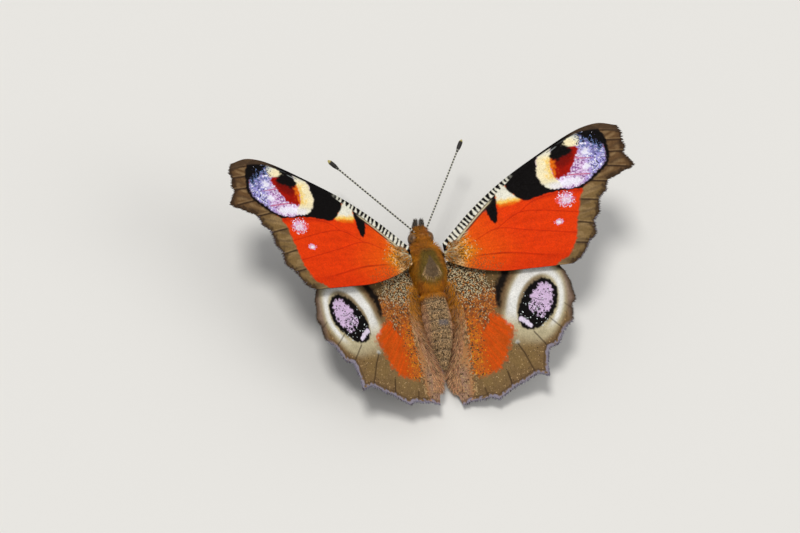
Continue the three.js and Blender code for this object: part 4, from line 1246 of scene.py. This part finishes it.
def skin_point(y, angle):
    """Points of the skin in the body's frame and their outward normals. Angle 0 is up."""
    wide, high, axis = skin_section(y)
    dip = segment_dip(y)
    wide, high = wide - dip, high - dip
    points = np.stack([wide * np.sin(angle), y + 0 * angle, axis + high * np.cos(angle)], -1)
    ahead_wide, ahead_high, _ = skin_section(y + 0.1)
    slope = ((ahead_wide + ahead_high) - (wide + high)) / 0.2
    normals = np.stack([np.sin(angle) / np.maximum(wide, 0.05), -slope / np.maximum(wide, 0.05),
                        np.cos(angle) / np.maximum(high, 0.05)], -1)
    return points, unit(normals)


def body_tone(points, rng):
    """The coat's colour at places on the body, in the body's frame."""
    x, y, z = points.T
    count = len(x)
    wobble = noise(points, 0.7)
    tone = mixed(TONE["fur"], TONE["ochre"], smooth(0.35, 0.8, wobble))

    def lay(name, share):
        nonlocal tone
        tone = mixed(tone, TONE[name], np.clip(share, 0, 1))

    top = smooth(-1.0, -0.2, z)
    half = np.interp(y, [-4.0, -3.2, -2.4, -1.2, 0.6, 1.2], [0.3, 1.3, 1.75, 1.35, 0.85, 0.2])
    back = smooth(1.4, 0.7, np.abs(x) / half) * smooth(1.3, 0.6, y) * smooth(-4.1, -3.3, y)
    lay("olive", 0.85 * top * back)
    lay("bare", 0.95 * top * bare_patch(points))
    rim = smooth(0.14, 0.06, np.abs(np.abs(x - 0.05) - drop_half(y)))
    lay("wheat", 0.85 * top * rim * smooth(-1.2, -2.2, y) * smooth(-3.6, -3.4, y))
    lay("fur_dark", 0.55 * smooth(-1.0, -2.4, z))
    lay("fur_dark", 0.75 * smooth(2.2, 3.2, y) * smooth(0.35, 0.6, noise(points + 3, 0.5)))
    # Gold on the upper sides of the thorax: the ochre hair of its edges, made lighter there as a painted
    # highlight
    lay("gold", 0.6 * smooth(1.2, 1.9, np.abs(x)) * smooth(-4.6, -3.0, y) * smooth(-1.4, -0.9, z))
    abdomen = smooth(-4.9, -6.0, y + 0.35 * np.abs(x))
    chosen = picked_tones(rng, count, ("umber", "wheat", "dark_brown", "tan"), (2.6, 4.2, 2.8, 3))
    grey = np.exp(-(((y + 9.9) / 0.35) ** 2)) * smooth(0.95, 0.5, np.abs(x - 0.4)) * top
    tone = mixed(tone, mixed(chosen, TONE["steel"], 0.7 * grey), abdomen)
    lay("dark_brown", 0.2 * abdomen * np.clip(segment_dip(y) / SEGMENT_GROOVE, 0, 1))
    lay("pink_tan", 0.6 * abdomen * smooth(0.55, 0.9, np.abs(x) / 2.1) * smooth(-6, -9, y))
    lay("ochre", 0.6 * abdomen * smooth(0.6, 0.95, np.abs(x) / 2.1) * smooth(-9, -6.5, y))
    return tone * rng.uniform(0.75, 1.2, (count, 1))


def drop_half(y):
    """Half width of the thin-haired drop on the thorax's back, which points forward."""
    return np.interp(y, [-3.45, -3.1, -2.5, -1.2, 0.3], [0.0, 0.85, 1.1, 0.62, 0.0])


def bare_patch(points):
    """1 inside the drop."""
    half = drop_half(points[:, 1])
    return smooth(0.12, -0.12, np.abs(points[:, 0] - 0.05) - half) * (half > 0)


def make_skin(material):
    """One skin from the face to the tip of the abdomen."""
    y = np.linspace(SKIN[0][0], SKIN[-1][0], SKIN_RINGS)
    angle = 2 * np.pi * np.arange(SKIN_SIDES) / SKIN_SIDES
    grid_y, grid_angle = np.meshgrid(y, angle, indexing="ij")
    points, _ = skin_point(grid_y.ravel(), grid_angle.ravel())
    ends = [(0, y[0] + SKIN_END, SKIN[0][3]), (0, y[-1] - SKIN_END, SKIN[-1][3])]
    places = np.vstack([points, ends])
    tone = 0.55 * body_tone(places, np.random.default_rng(SEED))
    make_shell("body_skin", from_body(places), tube_faces(SKIN_RINGS, SKIN_SIDES), tone, material,
               "body_fur", "head", "thorax", "abdomen")


def body_spots(y, angle):
    """Places on the unwrap of the body's skin."""
    across = np.mod(angle / (2 * np.pi), 1)
    down = (SKIN[0][0] - y) / (SKIN[0][0] - SKIN[-1][0])
    return np.stack([0.01 + 0.97 * across, 0.01 + 0.97 * down], 1)


def at_points(value, points):
    """A number, or a function of the points, as one value for each point."""
    return value(points) if callable(value) else np.full(len(points), value)


def make_coat(material, rng, name, slot, count, stretch, length, width, rise, lean, keep=None):
    """A stretch of the body's coat. lean(points) gives the way the hairs lie, in the body's frame."""
    y = rng.uniform(*stretch, count)
    angle = rng.uniform(0, 2 * np.pi, count)
    wide = skin_section(y)[0]
    kept = rng.random(count) < wide / wide.max()
    points, normals = skin_point(y, angle)
    if keep is not None:
        kept &= keep(points, rng)
    y, angle, points, normals = y[kept], angle[kept], points[kept], normals[kept]
    ways = lean(points)
    ways = ways + rng.normal(0, 0.16, ways.shape)
    ways = unit(ways - normals * np.sum(ways * normals, axis=1, keepdims=True))
    tone = body_tone(points, rng)
    amount = len(points)
    piece = tufts(name, from_body(points), pitched(normals), pitched(ways),
                  length=at_points(length, points) * rng.uniform(0.7, 1.25, amount),
                  width=width * rng.uniform(0.8, 1.2, amount),
                  rise=at_points(rise, points) * rng.uniform(0.5, 1.5, amount),
                  root_tone=0.8 * tone, tip_tone=1.25 * tone, patches=body_spots(y, angle))
    dress(piece, material, slot)


def clear_of_eyes(points, _):
    """False inside an eye."""
    nearest = np.inf
    for side in SIDES.values():
        place = (points - (side * EYE["x"], EYE["y"], EYE["z"])) / (np.array(EYE["radii"]) + 0.02)
        nearest = np.minimum(nearest, np.linalg.norm(place, axis=1))
    return nearest >= 1


def thorax_keep(points, rng):
    """The drop on the back is nearly bare."""
    return (bare_patch(points) * (points[:, 2] > -0.8) < 0.5) | (rng.random(len(points)) < 0.2)


def thorax_lean(points):
    """To the rear and outward, but forward over the neck."""
    x, y, _ = points.T
    forward = smooth(0.5, 1.5, y)
    aside = np.sign(x) * smooth(0.1, 1.5, np.abs(x)) * (0.75 - 0.3 * smooth(-2.5, -4.0, y))
    return np.stack([aside * (1 - 0.1 * forward), -1 + 1.9 * forward, -0.2 * np.abs(x)], 1)


def thorax_length(points):
    """Longest at the shoulders, the collar and the rear, short on the middle of the back."""
    x, y, z = points.T
    edge = np.maximum(smooth(0.9, 2.0, np.abs(x)), np.maximum(smooth(0.2, 1.2, y), smooth(-3.0, -4.2, y)))
    return 0.62 + 0.75 * edge * smooth(-2.6, -1.6, z)


def thorax_rise(points):
    return 0.3 + 0.3 * smooth(0.2, 1.3, points[:, 1])


def shoulder_keep(points, _):
    """The bands along both sides where the wings leave the thorax."""
    return (points[:, 2] > -1.7) & (np.abs(points[:, 0]) > 1.35)


def shoulder_lean(points):
    x, y, _ = points.T
    return np.stack([1.3 * np.sign(x), -0.35 - 0.25 * y, np.full(len(x), 0.1)], 1)


def head_lean(points):
    """To the rear on the crown, forward on the face, and outward beside the eyes."""
    x, y, _ = points.T
    forward = smooth(2.9, 3.7, y)
    return np.stack([1.1 * x, -0.6 + 1.6 * forward, 0.5 * forward], 1)


def abdomen_lean(points):
    x = points[:, 0]
    return np.stack([0.05 * x, np.full(len(x), -1.0), np.full(len(x), -0.1)], 1)


def make_eyes(material):
    for hand, side in SIDES.items():
        shape = bmesh.new()
        bmesh.ops.create_uvsphere(shape, u_segments=56, v_segments=36, radius=1)
        points = np.array([vertex.co for vertex in shape.verts])
        faces = []
        for face in bmesh.ops.triangulate(shape, faces=shape.faces)["faces"]:
            faces.append([vertex.index for vertex in face.verts])
        shape.free()
        placed = points * EYE["radii"] + (side * EYE["x"], EYE["y"], EYE["z"])
        piece = mesh_object("eye_ball_" + hand, from_body(placed), faces)
        dress(piece, material, "eye", "eye_" + hand)


def make_palps(core, coat, rng):
    """Two short palps that curve up before the face, each with a brush of hair."""
    for hand, side in SIDES.items():
        knots = np.array(PALP) * (side, 1, 1)
        points, radii = along_path(knots, PALP_RADII, np.linspace(0, 1, 24))
        places, faces, _ = sweep(points, radii, 14)
        make_shell("palp_core_" + hand, from_body(places), faces, TONE["smoke"], core, "palp",
                   "palp_" + hand)
        pick = rng.random(PALP_HAIRS) * 0.97
        centre, reach = along_path(knots, PALP_RADII, pick)
        ahead, _ = along_path(knots, PALP_RADII, np.clip(pick + 0.03, 0, 1))
        heading = unit(ahead - centre + (0, 1e-6, 0))
        angle = rng.uniform(0, 2 * np.pi, PALP_HAIRS)
        across, over = square_to(heading)
        normals = across * np.cos(angle)[:, None] + over * np.sin(angle)[:, None]
        roots = centre + normals * reach[:, None]
        shade = picked_tones(rng, PALP_HAIRS, ("smoke", "bark", "fur_dark"), (6, 3, 1))
        patches = np.stack([0.02 + 0.9 * angle / 7, 0.02 + 0.9 * pick], 1)
        hairs = tufts("palp_hair_" + hand, from_body(roots), pitched(normals), pitched(heading),
                      length=rng.uniform(0.35, 0.7, PALP_HAIRS), width=0.045, rise=0.55,
                      root_tone=shade * 0.6, tip_tone=1.1 * shade, patches=patches, sink=0.05)
        dress(hairs, coat, "palp")


def make_antennae(material):
    """Thin ringed feelers that swell into a club with a pale tip."""
    for hand, side in SIDES.items():
        root = np.array(ANTENNA_ROOT) * (side, 1, 1)
        tip = np.array(ANTENNA_TIPS[hand])
        length = np.linalg.norm(tip - root)
        steps = np.append(np.arange(0, length, ANTENNA_RING / 8), length)
        points = root + (tip - root) * (steps / length)[:, None]
        swell = smooth(length - ANTENNA_CLUB_LENGTH, length - 1.1, steps)
        radii = ANTENNA_SHAFT + (ANTENNA_CLUB - ANTENNA_SHAFT) * swell
        radii = radii * np.sqrt(np.clip((length - steps + 0.02) / 0.5, 0.05, 1))
        ring = np.cos(2 * np.pi * steps / ANTENNA_RING)
        places, faces, along = sweep(points, radii * (1 + 0.06 * ring * (1 - swell)), 16)
        run = along * length
        ringed = smooth(-0.1, 0.5, np.cos(2 * np.pi * run / ANTENNA_RING))
        ringed = ringed * smooth(length - 1.4, length - 2.4, run)
        tone = mixed(TONE["horn"], TONE["ring"], ringed)
        tone = mixed(tone, TONE["club_tip"], smooth(length - 0.55, length - 0.25, run))
        make_shell("antenna_shaft_" + hand, from_body(places), faces, tone, material, "antenna",
                   "antenna_" + hand)


def make_proboscis(material):
    """The tongue, coiled under the face."""
    t = np.linspace(0, 1, 150)
    radius = COIL["inner"] + (COIL["outer"] - COIL["inner"]) * t
    angle = 2 * np.pi * COIL["turns"] * t + COIL["start"] - 2 * np.pi * (COIL["turns"] - 1.3)
    points = np.stack([0 * t, COIL["y"] - radius * np.cos(angle), COIL["z"] + radius * np.sin(angle)], 1)
    root = np.array([[0, COIL["y"] - 0.6, -2.5]])
    points = np.vstack([points, points[-1] * 0.5 + root * 0.5, root])
    radii = np.full(len(points), COIL["wire"]) * (1 + 0.05 * np.cos(np.arange(len(points)) * 1.6))
    radii[:10] *= np.linspace(0.5, 1, 10)
    places, faces, _ = sweep(points, radii, 12, up=(1, 0, 0))
    make_shell("proboscis_coil", from_body(places), faces, TONE["horn"], material, "horn", "proboscis")


def foot_claws(points):
    """Two hooked claws at the end of a foot."""
    tip = points[-1]
    heading = unit(tip - points[-4])
    across, _ = square_to(heading)
    parts = []
    for side in (-1, 1):
        hook = [tip - 0.1 * heading, tip + 0.16 * heading + 0.1 * side * across + (0, 0, 0.06),
                tip + 0.3 * heading + 0.14 * side * across - (0, 0, 0.1)]
        bent, thin = along_path(hook, (0.07, 0.05, 0.012), np.linspace(0, 1, 8))
        bent[:, 2] = np.maximum(bent[:, 2], thin + 0.003)
        parts.append(sweep(bent, thin, 6))
    return parts


def leg_spines(knots, radii):
    """Short spines in pairs along the shin and the foot."""
    parts = []
    for share in np.linspace(0.45, 0.97, LEG_SPINES):
        for side in (-1, 1):
            spot, size = along_path(knots, radii, [share])
            ahead, _ = along_path(knots, radii, [min(share + 0.02, 1)])
            heading = unit(ahead - spot)[0]
            across, _ = square_to(heading)
            root = spot[0] + side * 0.7 * size[0] * across
            root[2] = max(root[2], 0.1)
            end = root + 0.26 * heading + 0.16 * side * across
            end[2] = max(end[2], 0.03)
            middle = 0.5 * (root + end) + (0, 0, 0.01)
            parts.append(sweep([root, middle, end], (0.035, 0.025, 0.006), 5))
    return parts


def leg_shape(knots, radii, walks):
    """A jointed leg. One that walks has a foot of five short pieces, two claws and spines."""
    fractions = np.linspace(0, 1, 90)
    points, sizes = along_path(knots, radii, fractions)
    if not walks:
        return sweep(points, sizes, LEG_SIDES)
    steps = run_of(knots)
    foot = steps[FOOT_KNOT] / steps[-1]
    beat = np.where(fractions > foot, np.cos(2 * np.pi * 5 * (fractions - foot) / (1 - foot)), 0)
    sizes = sizes * (1 - 0.12 * beat)
    points[:, 2] = np.maximum(points[:, 2], sizes + 0.005)
    return joined([sweep(points, sizes, LEG_SIDES)] + foot_claws(points) + leg_spines(knots, radii))


def make_legs(material):
    for hand, side in SIDES.items():
        for kind, leg in LEGS.items():
            knots = np.array(leg["knots"]) * (side, 1, 1)
            points, faces, along = leg_shape(knots, leg["radii"], leg["walks"])
            tone = mixed(TONE["horn"], TONE["leg"], smooth(0.0, 0.5, along))
            make_shell(f"{kind}_limb_{hand}", from_legs(points), faces, tone, material, "leg",
                       f"{kind}_{hand}")


# Stage


def make_camera():
    data = bpy.data.cameras.new("camera")
    data.lens = CAMERA_LENS
    data.sensor_width = CAMERA_SENSOR
    data.clip_start = 0.01
    data.clip_end = 20
    camera = bpy.data.objects.new("camera", data)
    bpy.context.scene.collection.objects.link(camera)
    axes = Matrix((CAMERA_RIGHT, CAMERA_UP, CAMERA_BACK)).transposed()
    place = Vector(CAMERA_PLACE) + Vector((0, HINGE_Y, HINGE_HEIGHT))
    camera.matrix_world = Matrix.Translation(place * MM) @ axes.to_4x4()
    bpy.context.scene.camera = camera


def make_stage():
    """A pale paper floor, an even sky and two soft lamps."""
    material, tree = new_material("floor_paper")
    place = piece_place(tree)
    grain = wired(tree, "ShaderNodeTexNoise", {"Vector": place, "Scale": 900.0, "Detail": 4.0})
    finished(tree, rgba(TONE["floor"]), 0.85, grain.outputs[0], 0.00002, 0.15, Specular_IOR_Level=0.2)
    points = FLOOR_HALF * np.array([(-1, -1, 0), (1, -1, 0), (1, 1, 0), (-1, 1, 0)])
    floor = mesh_object("floor", points, [(0, 1, 2), (0, 2, 3)], False)
    floor.data.materials.append(material)

    world = bpy.data.worlds.new("studio")
    world.use_nodes = True
    background = world.node_tree.nodes["Background"]
    background.inputs["Color"].default_value = rgba(SKY_COLOUR)
    background.inputs["Strength"].default_value = SKY_STRENGTH
    bpy.context.scene.world = world
    for lamp in LAMPS:
        data = bpy.data.lights.new(lamp["name"], "SUN")
        data.energy = lamp["strength"]
        data.angle = math.radians(lamp["angle"])
        light = bpy.data.objects.new(lamp["name"], data)
        light.rotation_mode = "QUATERNION"
        light.rotation_quaternion = Vector(lamp["toward"]).to_track_quat("-Z", "Y")
        bpy.context.scene.collection.objects.link(light)
    bpy.context.scene.view_settings.view_transform = "Standard"


COATS = [
    {"name": "head_coat", "slot": "body_fur", "count": 9500, "stretch": (1.2, 4.3), "length": 0.85,
     "width": 0.05, "rise": 0.55, "lean": head_lean, "keep": clear_of_eyes},
    {"name": "thorax_coat", "slot": "body_fur", "count": 19000, "stretch": (-5.4, 1.9),
     "length": thorax_length, "width": 0.06, "rise": thorax_rise, "lean": thorax_lean,
     "keep": thorax_keep},
    {"name": "shoulder_hair", "slot": "body_fur", "count": 10000, "stretch": (-5.0, 1.4), "length": 1.3,
     "width": 0.06, "rise": 0.15, "lean": shoulder_lean, "keep": shoulder_keep},
    {"name": "abdomen_coat", "slot": "abdomen_fur", "count": 19500, "stretch": (-16.2, -5.0),
     "length": 0.32, "width": 0.1, "rise": 0.14, "lean": abdomen_lean},
]

make_camera()
make_stage()
scales = wing_material()
hair = coat_material("hair")
fur = coat_material("fur", 0.8)
shell = painted_material("shell", 0.55, 0.06, 0.01)
skin_surface = painted_material("skin", 0.85, 0.08, 0.02)

for kind, painter, hairs, spread in (("forewing", paint_forewing, 450, base_spread),
                                     ("hindwing", paint_hindwing, 4200, fold_spread)):
    for hand in SIDES:
        name = f"{kind}_{hand}"
        rng = np.random.default_rng([SEED, len(kind), len(hand), int(kind == "forewing")])
        net, middle = make_wing(name, painter, scales)
        make_fringe(name, net, middle, hair, rng)
        make_wing_hair(name, net, middle, hair, rng, hairs, spread)

make_skin(skin_surface)
rng = np.random.default_rng(SEED + 1)
for coat in COATS:
    make_coat(fur, rng, **coat)
make_eyes(eye_material())
make_palps(skin_surface, hair, np.random.default_rng(SEED + 2))
make_antennae(shell)
make_proboscis(shell)
make_legs(shell)
